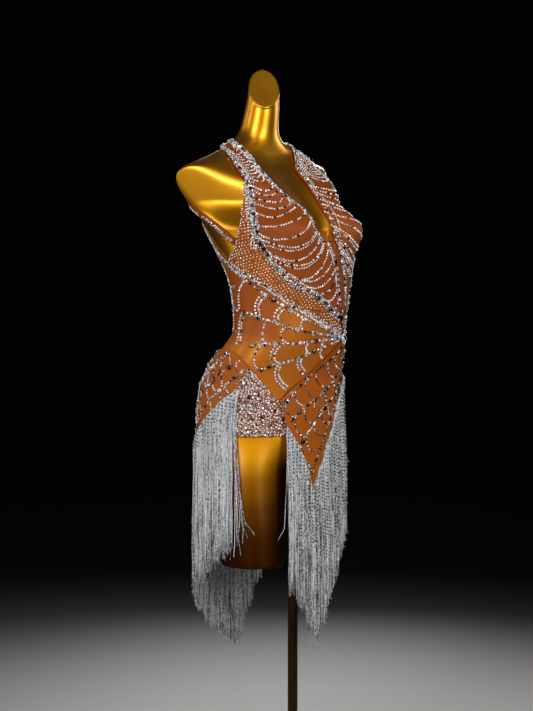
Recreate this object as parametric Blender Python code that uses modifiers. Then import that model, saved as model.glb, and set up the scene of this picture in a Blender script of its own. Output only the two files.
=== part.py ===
"""Latin dance dress on a limbless dress form with a round-base stand.

Metres, +Z up.  The wearer faces -Y and the wearer's right is -X.
The origin is the centre of the stand base's underside.

Every worn piece is a ruled panel between two seam lines.  A seam line is
given on the figure by an angle round the body (0 = front centre, negative
= wearer's right, 180 = back centre) and a height, so each panel follows
the form below it at its own layer and hangs straight where nothing
carries it.
"""
import bpy
import bmesh
import numpy as np
from math import radians, cos, sin, pi, sqrt, atan2
from mathutils import Vector
from mathutils.bvhtree import BVHTree

for old in list(bpy.data.objects):
    bpy.data.objects.remove(old, do_unlink=True)

# ------------------------------------------------------------ sizes
SEAM = 0.00025          # each edge drawn back: 0.5 mm between pieces
GAP_1 = 0.0016          # first layer of cloth, clear of the form
WALL = 0.0012           # stretch satin and power mesh
GAP_CUP = 0.0026        # padded cups
WALL_CUP = 0.0020
GAP_2 = 0.0044          # skirt panels, over the briefs
GAP_FRINGE = 0.0050
WALL_FRINGE = 0.0050
FRINGE_LENGTH = 0.295
AROUND = 48             # divisions round the form
CROTCH_Z = 0.885        # where the body ring divides into two legs
CROTCH_DIP = 0.026
LEG_END = 0.640
ALONG_CROTCH = 8
POLE_R = 0.0095
CLEAR = 0.0003
BASE_R = 0.190
SOCKET_TOP = 0.930

# ------------------------------------------------------------ the figure
# height, centre of the section, half width, depth in front, depth behind
FIGURE = [
    dict(z=0.845, yc=0.0665, a=0.1500, bf=0.1065, bb=0.1065),
    dict(z=0.885, yc=0.0665, a=0.1510, bf=0.1070, bb=0.1070),
    dict(z=0.920, yc=0.0650, a=0.1515, bf=0.1080, bb=0.1085),
    dict(z=0.962, yc=0.0605, a=0.1495, bf=0.1075, bb=0.1080),
    dict(z=0.989, yc=0.0545, a=0.1455, bf=0.1050, bb=0.1055),
    dict(z=1.015, yc=0.0450, a=0.1390, bf=0.1010, bb=0.1015),
    dict(z=1.042, yc=0.0300, a=0.1295, bf=0.0955, bb=0.0960),
    dict(z=1.069, yc=0.0150, a=0.1190, bf=0.0890, bb=0.0890),
    dict(z=1.092, yc=0.0085, a=0.1155, bf=0.0860, bb=0.0860),
    dict(z=1.139, yc=0.0080, a=0.1190, bf=0.0895, bb=0.0895),
    dict(z=1.187, yc=0.0115, a=0.1260, bf=0.0920, bb=0.0985),
    dict(z=1.234, yc=0.0320, a=0.1350, bf=0.0900, bb=0.1050),
    dict(z=1.280, yc=0.0545, a=0.1480, bf=0.0800, bb=0.1065),
    dict(z=1.312, yc=0.0730, a=0.1680, bf=0.0700, bb=0.0920),
    dict(z=1.342, yc=0.0870, a=0.1950, bf=0.0655, bb=0.0750),
    dict(z=1.367, yc=0.0940, a=0.2060, bf=0.0580, bb=0.0630),
    dict(z=1.388, yc=0.0990, a=0.1850, bf=0.0480, bb=0.0540),
    dict(z=1.404, yc=0.1020, a=0.1420, bf=0.0440, bb=0.0470),
    dict(z=1.416, yc=0.1030, a=0.1070, bf=0.0420, bb=0.0430),
    dict(z=1.427, yc=0.1020, a=0.0810, bf=0.0415, bb=0.0420),
    dict(z=1.443, yc=0.0990, a=0.0520, bf=0.0388, bb=0.0408),
    dict(z=1.462, yc=0.0945, a=0.0388, bf=0.0355, bb=0.0375),
    dict(z=1.490, yc=0.0880, a=0.0345, bf=0.0325, bb=0.0350),
    dict(z=1.520, yc=0.0830, a=0.0312, bf=0.0295, bb=0.0310),
    dict(z=1.555, yc=0.0800, a=0.0300, bf=0.0285, bb=0.0295),
    dict(z=1.590, yc=0.0780, a=0.0300, bf=0.0285, bb=0.0290),
]
BUST = dict(x=0.071, z=1.293, high=0.091, wide=0.042, up=0.055, down=0.048)
# cloth stretched from cup to cup stands clear of the breastbone
SPAN = dict(high=0.024, wide=0.030, z=1.238, up=0.022, down=0.040)
# the oval faces where the arms would start
STUMP = dict(n=(0.816, -0.540, -0.204), p=(0.153, 0.075, 1.348), soft=0.005)
NECK_CUT = dict(z=1.5425, y=0.0805, slope=1.200, slope_x=0.736, start=1.478)
LEG = [
    dict(z=0.885, x=0.0790, y=0.0640, a=0.0680, b=0.0880),
    dict(z=0.800, x=0.0790, y=0.0500, a=0.0655, b=0.0720),
    dict(z=0.720, x=0.0790, y=0.0380, a=0.0625, b=0.0660),
    dict(z=0.630, x=0.0790, y=0.0265, a=0.0580, b=0.0605),
]


def natural_spline(values):
    """A smooth curve through evenly numbered rows, straight at its ends."""
    ys = np.asarray(values, float)
    n = len(ys)
    A = np.eye(n)
    r = np.zeros_like(ys)
    for i in range(1, n - 1):
        A[i, i - 1:i + 2] = (1, 4, 1)
        r[i] = 6 * (ys[i - 1] - 2 * ys[i] + ys[i + 1])
    M = np.linalg.solve(A, r)

    def at(u):
        u = min(max(float(u), 0.0), n - 1.0)
        i = min(int(u), n - 2)
        s = u - i
        return (ys[i] * (1 - s) + ys[i + 1] * s
                + ((1 - s) ** 3 - (1 - s)) * M[i] / 6 + (s ** 3 - s) * M[i + 1] / 6)
    return at


COLS = ("z", "yc", "a", "bf", "bb")
figure_at = natural_spline([[row[c] for c in COLS] for row in FIGURE])
U_STEPS = np.linspace(0, len(FIGURE) - 1, 1200)
Z_STEPS = np.array([figure_at(u)[0] for u in U_STEPS])


def smooth(x):
    x = min(max(x, 0.0), 1.0)
    return x * x * (3 - 2 * x)


def bell(x, w):
    return float(np.exp(-0.5 * (x / w) ** 2))


def skin(t, z, span=0.0):
    """Point of the figure at angle t (radians) and height z."""
    zz = max(z, FIGURE[0]["z"])
    _, yc, a, bf, bb = figure_at(np.interp(zz, Z_STEPS, U_STEPS))
    c, s = cos(t), sin(t)
    x = a * s
    y = yc - (bf if c > 0 else bb) * c
    front = smooth(c * 2.2)
    dz = z - BUST["z"]
    lobes = bell(x - BUST["x"], BUST["wide"]) + bell(x + BUST["x"], BUST["wide"])
    y -= BUST["high"] * bell(dz, BUST["up"] if dz > 0 else BUST["down"]) * lobes * front
    if span:
        ds = z - SPAN["z"]
        y -= span * SPAN["high"] * bell(x, SPAN["wide"]) * bell(
            ds, SPAN["up"] if ds > 0 else SPAN["down"]) * front
    p = Vector((x, y, z))
    side = 1 if x > 0 else -1
    if abs(x) > 0.04:
        n = Vector((STUMP["n"][0] * side, STUMP["n"][1], STUMP["n"][2])).normalized()
        q = Vector((STUMP["p"][0] * side, STUMP["p"][1], STUMP["p"][2]))
        d = (p - q).dot(n)
        k = STUMP["soft"]
        over = k * np.log1p(np.exp(min(max(d / k, -40), 40)))
        p -= n * float(over) * smooth((z - 1.272) / 0.05)
    return p


def outward(t, z, span=1.0):
    e, h = 0.01, 0.002
    dt = skin(t + e, z, span) - skin(t - e, z, span)
    dz = skin(t, z + h, span) - skin(t, z - h, span)
    n = dt.cross(dz)
    return n.normalized()


def hang(t, z, leave):
    """Where cloth that leaves the body at height `leave` hangs at height z."""
    low = CROTCH_Z
    best, point = -1.0, None
    for k in range(9):
        zz = max(z, low) + (max(leave, z) - max(z, low)) * k / 8
        p = skin(t, zz, 1.0)
        r = sqrt(p.x ** 2 + (p.y - 0.055) ** 2)
        if r > best:
            best, point = r, p
    return Vector((point.x, point.y, z))


def worn(t_deg, z, gap, leave=None):
    """Point of a cloth layer `gap` clear of the figure."""
    t = radians(t_deg)
    if leave is None or z > leave:
        p = skin(t, z, 1.0)
        n = outward(t, z)
    else:
        p = hang(t, z, leave)
        n = outward(t, max(z, CROTCH_Z + 0.01))
        n = Vector((n.x, n.y, 0.0)).normalized()
    return p + n * gap


# ------------------------------------------------------------ seam lines
def seam(*rows):
    return [dict(t=r[0], z=r[1]) for r in rows]


def mirrored(line):
    return [dict(t=-p["t"], z=p["z"]) for p in line]


# columns: angle round the figure, height
CUP_OUTER = seam(            # strap edge, then the crusted line under the cup
    (-80.0, 1.4215), (-56.0, 1.4110), (-42.0, 1.4000), (-34.5, 1.3860),
    (-32.5, 1.3730), (-32.0, 1.3560), (-41.0, 1.3280), (-53.0, 1.2980),
    (-57.0, 1.2770), (-58.5, 1.2500), (-56.5, 1.2350), (-53.0, 1.2180),
    (-43.5, 1.1910), (-32.0, 1.1720), (-19.0, 1.1600), (-3.0, 1.1410),
    (9.0, 1.1230), (25.0, 1.1070))
CUP_INNER = seam(            # neckline, then the edge of the centre strip
    (-108.0, 1.4420), (-56.0, 1.4270), (-29.0, 1.4100), (-21.0, 1.3950),
    (-18.0, 1.3810), (-19.0, 1.3600), (-21.0, 1.3320), (-21.5, 1.3050),
    (-17.0, 1.2800), (-10.0, 1.2600), (-5.5, 1.2480), (-1.5, 1.2360),
    (3.5, 1.2150), (9.0, 1.1950), (14.0, 1.1750), (19.0, 1.1550),
    (23.0, 1.1380), (28.5, 1.1150))
BAND_OUTER = seam(           # armhole, window edge, then the lower seam
    (-33.5, 1.3560), (-45.0, 1.3280), (-60.0, 1.2990), (-70.0, 1.2720),
    (-83.0, 1.2350), (-100.5, 1.2110), (-88.0, 1.1990), (-68.0, 1.1790),
    (-50.0, 1.1560), (-34.0, 1.1360), (-14.5, 1.1140), (3.0, 1.0970),
    (22.0, 1.0800), (39.0, 1.0680))
BAND_INNER = seam(
    (-32.0, 1.3560), (-41.0, 1.3280), (-53.0, 1.2980), (-57.0, 1.2770),
    (-58.5, 1.2500), (-56.5, 1.2350), (-53.0, 1.2180), (-43.5, 1.1910),
    (-32.0, 1.1720), (-19.0, 1.1600), (-3.0, 1.1410), (9.0, 1.1230),
    (25.0, 1.1070), (39.0, 1.0730))
STRIP_LEFT = seam(           # centre strip, wearer's left edge
    (3.0, 1.2480), (6.0, 1.2360), (12.0, 1.2150), (18.0, 1.1950),
    (24.0, 1.1750), (29.0, 1.1550), (33.0, 1.1380), (37.0, 1.1150),
    (40.0, 1.0730))
STRIP_RIGHT = seam(
    (-3.5, 1.2480), (-1.0, 1.2360), (4.0, 1.2150), (9.0, 1.1950),
    (14.0, 1.1750), (19.0, 1.1550), (23.0, 1.1380), (28.5, 1.1150),
    (39.0, 1.0740))
LEFT_CUP_INNER = seam(
    (108.0, 1.4420), (52.0, 1.4270), (26.0, 1.4100), (15.0, 1.3950),
    (10.0, 1.3810), (9.0, 1.3600), (8.5, 1.3320), (8.5, 1.3050),
    (8.0, 1.2800), (5.5, 1.2600), (3.0, 1.2480), (6.0, 1.2360),
    (12.0, 1.2150), (18.0, 1.1950), (24.0, 1.1750), (29.0, 1.1550),
    (33.0, 1.1380), (37.0, 1.1150), (40.0, 1.0730))
LEFT_CUP_OUTER = seam(
    (80.0, 1.4215), (56.0, 1.4110), (42.0, 1.4000), (34.5, 1.3860),
    (32.5, 1.3730), (32.0, 1.3560), (41.0, 1.3280), (53.0, 1.2980),
    (57.0, 1.2770), (59.0, 1.2500), (59.0, 1.2350), (58.5, 1.2180),
    (57.5, 1.2000), (56.0, 1.1820), (54.0, 1.1640), (51.5, 1.1460),
    (49.0, 1.1280), (46.0, 1.1060), (42.4, 1.0730))
LEFT_BAND_OUTER = seam(
    (33.5, 1.3560), (45.0, 1.3280), (60.0, 1.2990), (70.0, 1.2720),
    (83.0, 1.2350), (100.5, 1.2110), (95.0, 1.1930), (87.0, 1.1740),
    (78.0, 1.1540), (68.0, 1.1330), (58.0, 1.1120), (50.0, 1.0920),
    (43.5, 1.0710))
LEFT_BAND_INNER = seam(
    (32.0, 1.3560), (41.0, 1.3280), (53.0, 1.2980), (57.0, 1.2770),
    (59.0, 1.2500), (59.0, 1.2350), (58.5, 1.2180), (57.5, 1.2000),
    (56.0, 1.1820), (54.0, 1.1640), (51.5, 1.1460), (49.0, 1.1280),
    (42.8, 1.0720))
# the sheer midriff, from the band's lower seam to the skirt and briefs
MIDRIFF_TOP = seam(
    (-100.5, 1.2110), (-88.0, 1.1990), (-68.0, 1.1790), (-59.0, 1.1675),
    (-50.0, 1.1560), (-42.0, 1.1460), (-34.0, 1.1360), (-24.0, 1.1247),
    (-14.5, 1.1140), (3.0, 1.0970), (22.0, 1.0800), (38.6, 1.0675))
MIDRIFF_LOW = seam(
    (-100.5, 1.0460), (-91.0, 1.0460), (-72.0, 1.0330), (-58.5, 1.0180),
    (-48.0, 1.0000), (-38.0, 0.9780), (-28.0, 0.9575), (-19.0, 0.9790),
    (-10.0, 0.9950), (5.0, 1.0240), (22.0, 1.0500), (38.6, 1.0645))
LEFT_SIDE_TOP = seam(
    (43.5, 1.0700), (50.0, 1.0912), (58.0, 1.1112), (68.0, 1.1322),
    (78.0, 1.1532), (87.0, 1.1732), (95.0, 1.1922), (100.5, 1.2100))
LEFT_SIDE_LOW = seam(
    (43.5, 1.0655), (50.0, 1.0630), (58.0, 1.0580), (68.0, 1.0530),
    (78.0, 1.0490), (87.0, 1.0470), (95.0, 1.0460), (100.5, 1.0460))
BACK_TOP = seam(
    (-101.0, 1.2110), (-109.0, 1.2240), (-116.0, 1.2400), (-122.0, 1.2580),
    (-130.0, 1.2790), (-142.0, 1.2990), (-155.0, 1.3130), (-168.0, 1.3220),
    (-180.0, 1.3250), (-192.0, 1.3220), (-205.0, 1.3130), (-218.0, 1.2990),
    (-230.0, 1.2790), (-238.0, 1.2580), (-244.0, 1.2400), (-251.0, 1.2240),
    (-259.0, 1.2110))
BACK_LOW = seam(*[(p["t"], 1.0460 - 0.011 * smooth((80 - abs(p["t"] + 180)) / 80))
                  for p in BACK_TOP])
SIDE_STRAP_UP = seam(        # narrow strap across the back, top edge
    (-76.2, 1.2550), (-83.0, 1.2780), (-92.5, 1.2940), (-104.0, 1.3100),
    (-118.0, 1.3230), (-132.0, 1.3330), (-148.0, 1.3400), (-163.0, 1.3440))
SIDE_STRAP_LOW = seam(
    (-80.5, 1.2440), (-87.0, 1.2650), (-95.0, 1.2810), (-106.0, 1.2970),
    (-119.0, 1.3100), (-132.0, 1.3200), (-148.0, 1.3270), (-163.0, 1.3310))
BACK_STRAP_OUTER = seam(     # halter strap down the back, outer edge
    (-80.6, 1.4210), (-118.0, 1.4290), (-138.0, 1.4240), (-150.0, 1.4070),
    (-157.5, 1.3820), (-163.0, 1.3520), (-163.6, 1.3310))
BACK_STRAP_INNER = seam(
    (-108.6, 1.4415), (-140.0, 1.4400), (-157.0, 1.4280), (-166.0, 1.4060),
    (-171.0, 1.3770), (-174.0, 1.3480), (-174.0, 1.3310))
# skirt panels
FRONT_TOP = seam(
    (-28.5, 0.9585), (-25.0, 0.9650), (-22.5, 0.9720), (-16.5, 0.9830),
    (-10.0, 0.9950), (-4.5, 1.0055), (0.0, 1.0140), (7.0, 1.0275),
    (16.5, 1.0430), (25.0, 1.0535), (32.0, 1.0600), (41.0, 1.0650),
    (47.5, 1.0640), (55.0, 1.0600), (62.0, 1.0560))
FRONT_HEM = seam(
    (-29.0, 0.9540), (-26.5, 0.9280), (-24.5, 0.9065), (-17.5, 0.8800),
    (-10.5, 0.8480), (-5.0, 0.8150), (-1.0, 0.7835), (6.0, 0.8220),
    (15.5, 0.8700), (24.0, 0.9080), (31.0, 0.9450), (40.0, 0.9670),
    (47.0, 0.9800), (55.0, 0.9880), (62.0, 0.9900))
HIP_TOP = seam(
    (-59.0, 1.0180), (-72.0, 1.0335), (-86.0, 1.0440), (-99.0, 1.0465),
    (-111.5, 1.0460), (-125.0, 1.0440), (-140.0, 1.0410), (-154.0, 1.0380),
    (-167.0, 1.0360), (-180.0, 1.0350), (-193.0, 1.0360), (-206.0, 1.0380),
    (-220.0, 1.0410), (-235.0, 1.0440), (-248.5, 1.0460), (-261.0, 1.0465),
    (-274.0, 1.0480), (-286.0, 1.0520), (-298.0, 1.0560))
HIP_HEM = seam(
    (-64.0, 0.9770), (-77.0, 0.9530), (-86.5, 0.9330), (-99.5, 0.9080),
    (-111.5, 0.8860), (-125.0, 0.8660), (-140.0, 0.8410), (-154.0, 0.8130),
    (-167.0, 0.7850), (-180.0, 0.7570), (-188.0, 0.7450), (-198.0, 0.8200),
    (-211.0, 0.8970), (-226.0, 0.9250), (-243.0, 0.9400), (-260.5, 0.9530),
    (-273.5, 0.9640), (-285.0, 0.9760), (-298.0, 0.9900))
# waist edge of the briefs; only the stretch from -58 to -26 shows
BRIEF_TOP = seam(
    (-180.0, 1.0290), (-160.0, 1.0300), (-140.0, 1.0330), (-120.0, 1.0370),
    (-100.0, 1.0400), (-88.0, 1.0390), (-72.0, 1.0325), (-58.5, 1.0175),
    (-48.0, 0.9995), (-38.0, 0.9775), (-28.0, 0.9570), (-19.0, 0.9740),
    (-10.0, 0.9900), (5.0, 1.0180), (22.0, 1.0430), (38.6, 1.0560),
    (55.0, 1.0500), (75.0, 1.0430), (95.0, 1.0400), (120.0, 1.0370),
    (140.0, 1.0330), (160.0, 1.0300))
BRIEF_HEM_Z = 0.8870


# ------------------------------------------------------------ building
collection = bpy.data.collections.new("latin_dance_dress")
bpy.context.scene.collection.children.link(collection)
cutters = bpy.data.collections.new("cutters")
bpy.context.scene.collection.children.link(cutters)


def material(name, colour, rough, metal=0.0):
    m = bpy.data.materials.new(name)
    m.use_nodes = True
    bsdf = m.node_tree.nodes["Principled BSDF"]
    bsdf.inputs["Base Color"].default_value = (*colour, 1.0)
    bsdf.inputs["Roughness"].default_value = rough
    bsdf.inputs["Metallic"].default_value = metal
    return m


GOLD = material("gold_form", (0.62, 0.34, 0.06), 0.25, 1.0)
SATIN = material("rust_satin", (0.38, 0.075, 0.014), 0.5)
SHEER = material("sheer_mesh", (0.45, 0.17, 0.05), 0.55)
STONED = material("stoned_stretch", (0.50, 0.30, 0.20), 0.35)
SILVER = material("silver_fringe", (0.55, 0.55, 0.58), 0.4, 0.3)
BRONZE = material("stand_metal", (0.22, 0.13, 0.04), 0.35, 1.0)


def add_object(name, mesh, mat, where=None):
    ob = bpy.data.objects.new(name, mesh)
    (where or collection).objects.link(ob)
    if mat is not None:
        mesh.materials.append(mat)
    return ob


def thicken(ob, wall):
    mod = ob.modifiers.new("wall", "SOLIDIFY")
    mod.thickness = wall
    mod.offset = 1.0
    mod.use_even_offset = False
    mod.use_rim = True


def grid_mesh(name, points, closed=False, skip=()):
    """A sheet from rows of points; faces look along the first axis x second."""
    bm = bmesh.new()
    rows = [[bm.verts.new(p) for p in row] for row in points]
    n = len(rows)
    for i in range(n if closed else n - 1):
        a, b = rows[i], rows[(i + 1) % n]
        for j in range(len(a) - 1):
            if (i, j) in skip:
                continue
            bm.faces.new((a[j], a[j + 1], b[j + 1], b[j]))
    for v in [v for v in bm.verts if not v.link_faces]:
        bm.verts.remove(v)
    mesh = bpy.data.meshes.new(name)
    bm.to_mesh(mesh)
    bm.free()
    return mesh


def face_out(mesh, centre_y=0.05):
    """Turn the sheet so that it looks away from the body's axis."""
    total = 0.0
    for p in mesh.polygons:
        c = p.center
        total += p.area * (p.normal.x * c.x + p.normal.y * (c.y - centre_y))
    if total < 0:
        mesh.flip_normals()


def draw_back(points, closed=False):
    """Move the sheet's free edges in, so that seams keep their gap."""
    n, m = len(points), len(points[0])
    out = [[p.copy() for p in row] for row in points]

    def pull(i, j, k, l):
        d = points[k][l] - points[i][j]
        if d.length > 1e-6:
            out[i][j] += d.normalized() * min(SEAM, d.length * 0.3)

    for i in range(n):
        pull(i, 0, i, 1)
        pull(i, m - 1, i, m - 2)
    if not closed:
        for j in range(m):
            pull(0, j, 1, j)
            pull(n - 1, j, n - 2, j)
    return out


def panel(name, one, two, mat, gap=GAP_1, wall=WALL, across=4, sub=1,
          leave=None, closed=False, drop=None):
    """A sheet ruled between seam line `one` and seam line `two`."""
    grid = []
    count = len(one)
    last = count if closed else count - 1
    for i in range(last):
        for s in range(sub):
            grid.append((i, s / sub))
    if not closed:
        grid.append((count - 2, 1.0))
    points = []
    for i, f in grid:
        k = (i + 1) % count
        a0, a1, b0, b1 = one[i], one[k], two[i], two[k]
        turn = -360.0 if closed and k == 0 else 0.0
        ta = a0["t"] + (a1["t"] - turn - a0["t"]) * f
        tb = b0["t"] + (b1["t"] - turn - b0["t"]) * f
        za = a0["z"] + (a1["z"] - a0["z"]) * f
        zb = b0["z"] + (b1["z"] - b0["z"]) * f
        row = []
        for j in range(across + 1):
            g = j / across
            row.append(worn(ta + (tb - ta) * g, za + (zb - za) * g, gap, leave))
        points.append(row)
    mesh = grid_mesh(name, draw_back(points, closed), closed)
    face_out(mesh)
    ob = add_object(name, mesh, mat)
    thicken(ob, wall)
    return ob


def fringe(name, hem, mat, leave, spread, down=4):
    """A plain solid of the fringe's reach, hung from a hem line."""
    points = []
    for p in hem:
        row = []
        for j in range(down + 1):
            f = j / down
            z = p["z"] - 0.0028 - FRINGE_LENGTH * f
            row.append(worn(p["t"], z, GAP_FRINGE + spread * smooth(f * 1.6), leave))
        points.append(row)
    mesh = grid_mesh(name, draw_back(points))
    face_out(mesh)
    ob = add_object(name, mesh, mat)
    thicken(ob, WALL_FRINGE)
    return ob


# ------------------------------------------------------------ dress form
def crotch_line():
    """Points from the front of the crotch to the back, through its dip."""
    front, back = skin(0.0, CROTCH_Z).y, skin(pi, CROTCH_Z).y
    pts = []
    for k in range(ALONG_CROTCH + 2):
        f = k / (ALONG_CROTCH + 1)
        y = front + (back - front) * (0.5 - 0.5 * cos(pi * f))
        z = CROTCH_Z - CROTCH_DIP * sin(pi * f) ** 0.8
        pts.append(Vector((0.0, y, z)))
    return pts


leg_at = natural_spline([[row[c] for c in ("z", "x", "y", "a", "b")] for row in LEG])
LEG_U = np.linspace(0, len(LEG) - 1, 200)
LEG_Z = np.array([leg_at(u)[0] for u in LEG_U])


def leg_point(side, angle, z):
    _, x, y, a, b = leg_at(np.interp(-z, -LEG_Z, LEG_U))
    return Vector((side * (x + a * cos(angle)), y + b * sin(angle), z))


def build_form():
    bm = bmesh.new()
    ring_angles = [2 * pi * k / AROUND for k in range(AROUND)]
    levels = [CROTCH_Z, 0.906, 0.930, 0.954, 0.976, 0.996, 1.014, 1.032, 1.050,
              1.068, 1.088, 1.112, 1.138, 1.164, 1.186, 1.206, 1.224, 1.240,
              1.255, 1.270, 1.285, 1.300, 1.315, 1.330, 1.344, 1.357, 1.369,
              1.379, 1.388, 1.396, 1.404, 1.411, 1.418, 1.425, 1.433, 1.444,
              1.460]
    rings = []
    for z in levels:
        rings.append([bm.verts.new(skin(t, z)) for t in ring_angles])
    for k in range(5):
        f = k / 4
        ring = []
        for t in ring_angles:
            z = NECK_CUT["start"]
            for _ in range(4):
                q = skin(t, z)
                cut = (NECK_CUT["z"] + (q.y - NECK_CUT["y"]) * NECK_CUT["slope"]
                       + q.x * NECK_CUT["slope_x"])
                z = NECK_CUT["start"] + (cut - NECK_CUT["start"]) * f
            p = skin(t, z)
            if k == 4:
                p.z = (NECK_CUT["z"] + (p.y - NECK_CUT["y"]) * NECK_CUT["slope"]
                       + p.x * NECK_CUT["slope_x"])
            ring.append(bm.verts.new(p))
        rings.append(ring)
    for a, b in zip(rings, rings[1:]):
        for k in range(AROUND):
            m = (k + 1) % AROUND
            bm.faces.new((a[k], a[m], b[m], b[k]))
    bm.faces.new(rings[-1])
    # legs: half of the body ring, closed along the crotch
    crotch = crotch_line()
    middle = [bm.verts.new(p) for p in crotch[1:-1]]
    half = AROUND // 2
    leg_levels = [0.872, 0.857, 0.838, 0.815, 0.785, 0.750, 0.715, 0.680, 0.645,
                  LEG_END]
    for side in (1, -1):
        top = [rings[0][(side * k) % AROUND] for k in range(half + 1)]
        top += list(reversed(middle))
        prev = top
        n = len(top)
        angles = []
        for v in top:
            _, cx, cy, a, b = leg_at(0.0)
            angles.append(atan2((v.co.y - cy) / b, (side * v.co.x - cx) / a))
        for z in leg_levels:
            w = smooth((CROTCH_Z - z) / 0.075)
            ring = []
            for k, v in enumerate(top):
                goal = leg_point(side, angles[k], z)
                if k <= half:
                    t = side * 2 * pi * k / AROUND
                    here = skin(t, z)
                else:
                    here = Vector((0.0, v.co.y, z))
                    w_in = min(1.0, (CROTCH_Z - z) / 0.055)
                    here = here.lerp(goal, 1 - (1 - w_in) ** 2)
                p = here.lerp(goal, w)
                if k > half or k == 0 or k == half:
                    depth = CROTCH_Z - v.co.z
                    p.z = z - depth * (1 - smooth((CROTCH_Z - z) / 0.10))
                ring.append(bm.verts.new(p))
            for k in range(n):
                m = (k + 1) % n
                bm.faces.new((prev[k], ring[k], ring[m], prev[m]) if side > 0
                             else (prev[m], ring[m], ring[k], prev[k]))
            prev = ring
        for v in prev:
            v.co.z = LEG_END
        bm.faces.new(prev)
    bmesh.ops.recalc_face_normals(bm, faces=bm.faces)
    mesh = bpy.data.meshes.new("dress_form")
    bm.to_mesh(mesh)
    bm.free()
    ob = add_object("dress_form", mesh, GOLD)
    # blind socket for the pole
    bpy.ops.mesh.primitive_cylinder_add(vertices=24, radius=POLE_R + CLEAR,
                                        depth=SOCKET_TOP - 0.80,
                                        location=(0, 0, (SOCKET_TOP + 0.80) / 2))
    cutter = bpy.context.active_object
    cutter.name = "socket_cutter"
    for c in list(cutter.users_collection):
        c.objects.unlink(cutter)
    cutters.objects.link(cutter)
    cutter.hide_render = True
    cutter.display_type = "WIRE"
    cut = ob.modifiers.new("socket", "BOOLEAN")
    cut.operation = "DIFFERENCE"
    cut.object = cutter
    cut.solver = "EXACT"
    mesh.shade_smooth()
    mesh.set_sharp_from_angle(angle=radians(40))
    return ob


FORM = build_form()

# ------------------------------------------------------------ stand
bpy.ops.mesh.primitive_cylinder_add(vertices=24, radius=POLE_R,
                                    depth=SOCKET_TOP - 0.004 - 0.0065,
                                    location=(0, 0, (SOCKET_TOP - 0.004 + 0.0065) / 2))
pole = bpy.context.active_object
pole.name = "stand_pole"
for c in list(pole.users_collection):
    c.objects.unlink(pole)
collection.objects.link(pole)
pole.data.materials.append(BRONZE)
pole.data.shade_smooth()
pole.data.set_sharp_from_angle(angle=radians(40))

# radius, height down the outside of the turned base
BASE_PROFILE = [
    dict(r=0.0000, z=0.0060), dict(r=POLE_R + CLEAR, z=0.0060),
    dict(r=POLE_R + CLEAR, z=0.0450), dict(r=0.0150, z=0.0450),
    dict(r=0.0175, z=0.0430), dict(r=0.0190, z=0.0180),
    dict(r=0.0260, z=0.0125), dict(r=0.1000, z=0.0105),
    dict(r=0.1830, z=0.0085), dict(r=0.1885, z=0.0065),
    dict(r=BASE_R, z=0.0035), dict(r=0.1892, z=0.0000),
    dict(r=0.0000, z=0.0000),
]
profile = bpy.data.meshes.new("stand_base")
profile.from_pydata([(p["r"], 0.0, p["z"]) for p in BASE_PROFILE],
                    [(k, k + 1) for k in range(len(BASE_PROFILE) - 1)], [])
base = add_object("stand_base", profile, BRONZE)
turn = base.modifiers.new("turn", "SCREW")
turn.angle = 2 * pi
turn.steps = 48
turn.render_steps = 48
turn.use_merge_vertices = True
turn.merge_threshold = 0.0001
turn.axis = "Z"

# ------------------------------------------------------------ bodice
panel("cup_right", CUP_OUTER, CUP_INNER, SATIN, GAP_CUP, WALL_CUP, across=6, sub=2)
panel("cup_left", LEFT_CUP_OUTER, LEFT_CUP_INNER, SATIN, GAP_CUP, WALL_CUP, across=6, sub=2)
panel("centre_strip", STRIP_RIGHT, STRIP_LEFT, SATIN, GAP_CUP, WALL_CUP, across=2, sub=2)
panel("side_band_right", BAND_OUTER, BAND_INNER, SHEER, GAP_1, WALL, across=5, sub=2)
panel("side_band_left", LEFT_BAND_OUTER, LEFT_BAND_INNER, SHEER, GAP_1, WALL, across=5, sub=2)
# small mesh bridge across the foot of the neckline
BRIDGE_UP = seam((-13.8, 1.2720), (-3.5, 1.2670), (6.4, 1.2720))
BRIDGE_LOW = seam((-5.2, 1.2500), (-1.5, 1.2495), (2.6, 1.2500))
panel("neck_bridge", BRIDGE_UP, BRIDGE_LOW, SHEER, GAP_CUP, WALL, across=2)
panel("midriff_front", MIDRIFF_TOP, MIDRIFF_LOW, SHEER, across=6, sub=2)
panel("midriff_left", LEFT_SIDE_TOP, LEFT_SIDE_LOW, SHEER, across=5)
panel("back_panel", BACK_TOP, BACK_LOW, SHEER, across=11, sub=2)
panel("side_strap_right", SIDE_STRAP_UP, SIDE_STRAP_LOW, SATIN, across=1, sub=2)
panel("side_strap_left", mirrored(SIDE_STRAP_UP), mirrored(SIDE_STRAP_LOW), SATIN, across=1, sub=2)
panel("back_strap_right", BACK_STRAP_OUTER, BACK_STRAP_INNER, SATIN, GAP_CUP, WALL, across=2, sub=2)
panel("back_strap_left", mirrored(BACK_STRAP_OUTER), mirrored(BACK_STRAP_INNER), SATIN,
      GAP_CUP, WALL, across=2, sub=2)

# ------------------------------------------------------------ briefs
BRIEF_HEM = seam(*[(p["t"], BRIEF_HEM_Z) for p in BRIEF_TOP])
panel("briefs", BRIEF_TOP, BRIEF_HEM, STONED, across=5, sub=2, closed=True)


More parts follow.
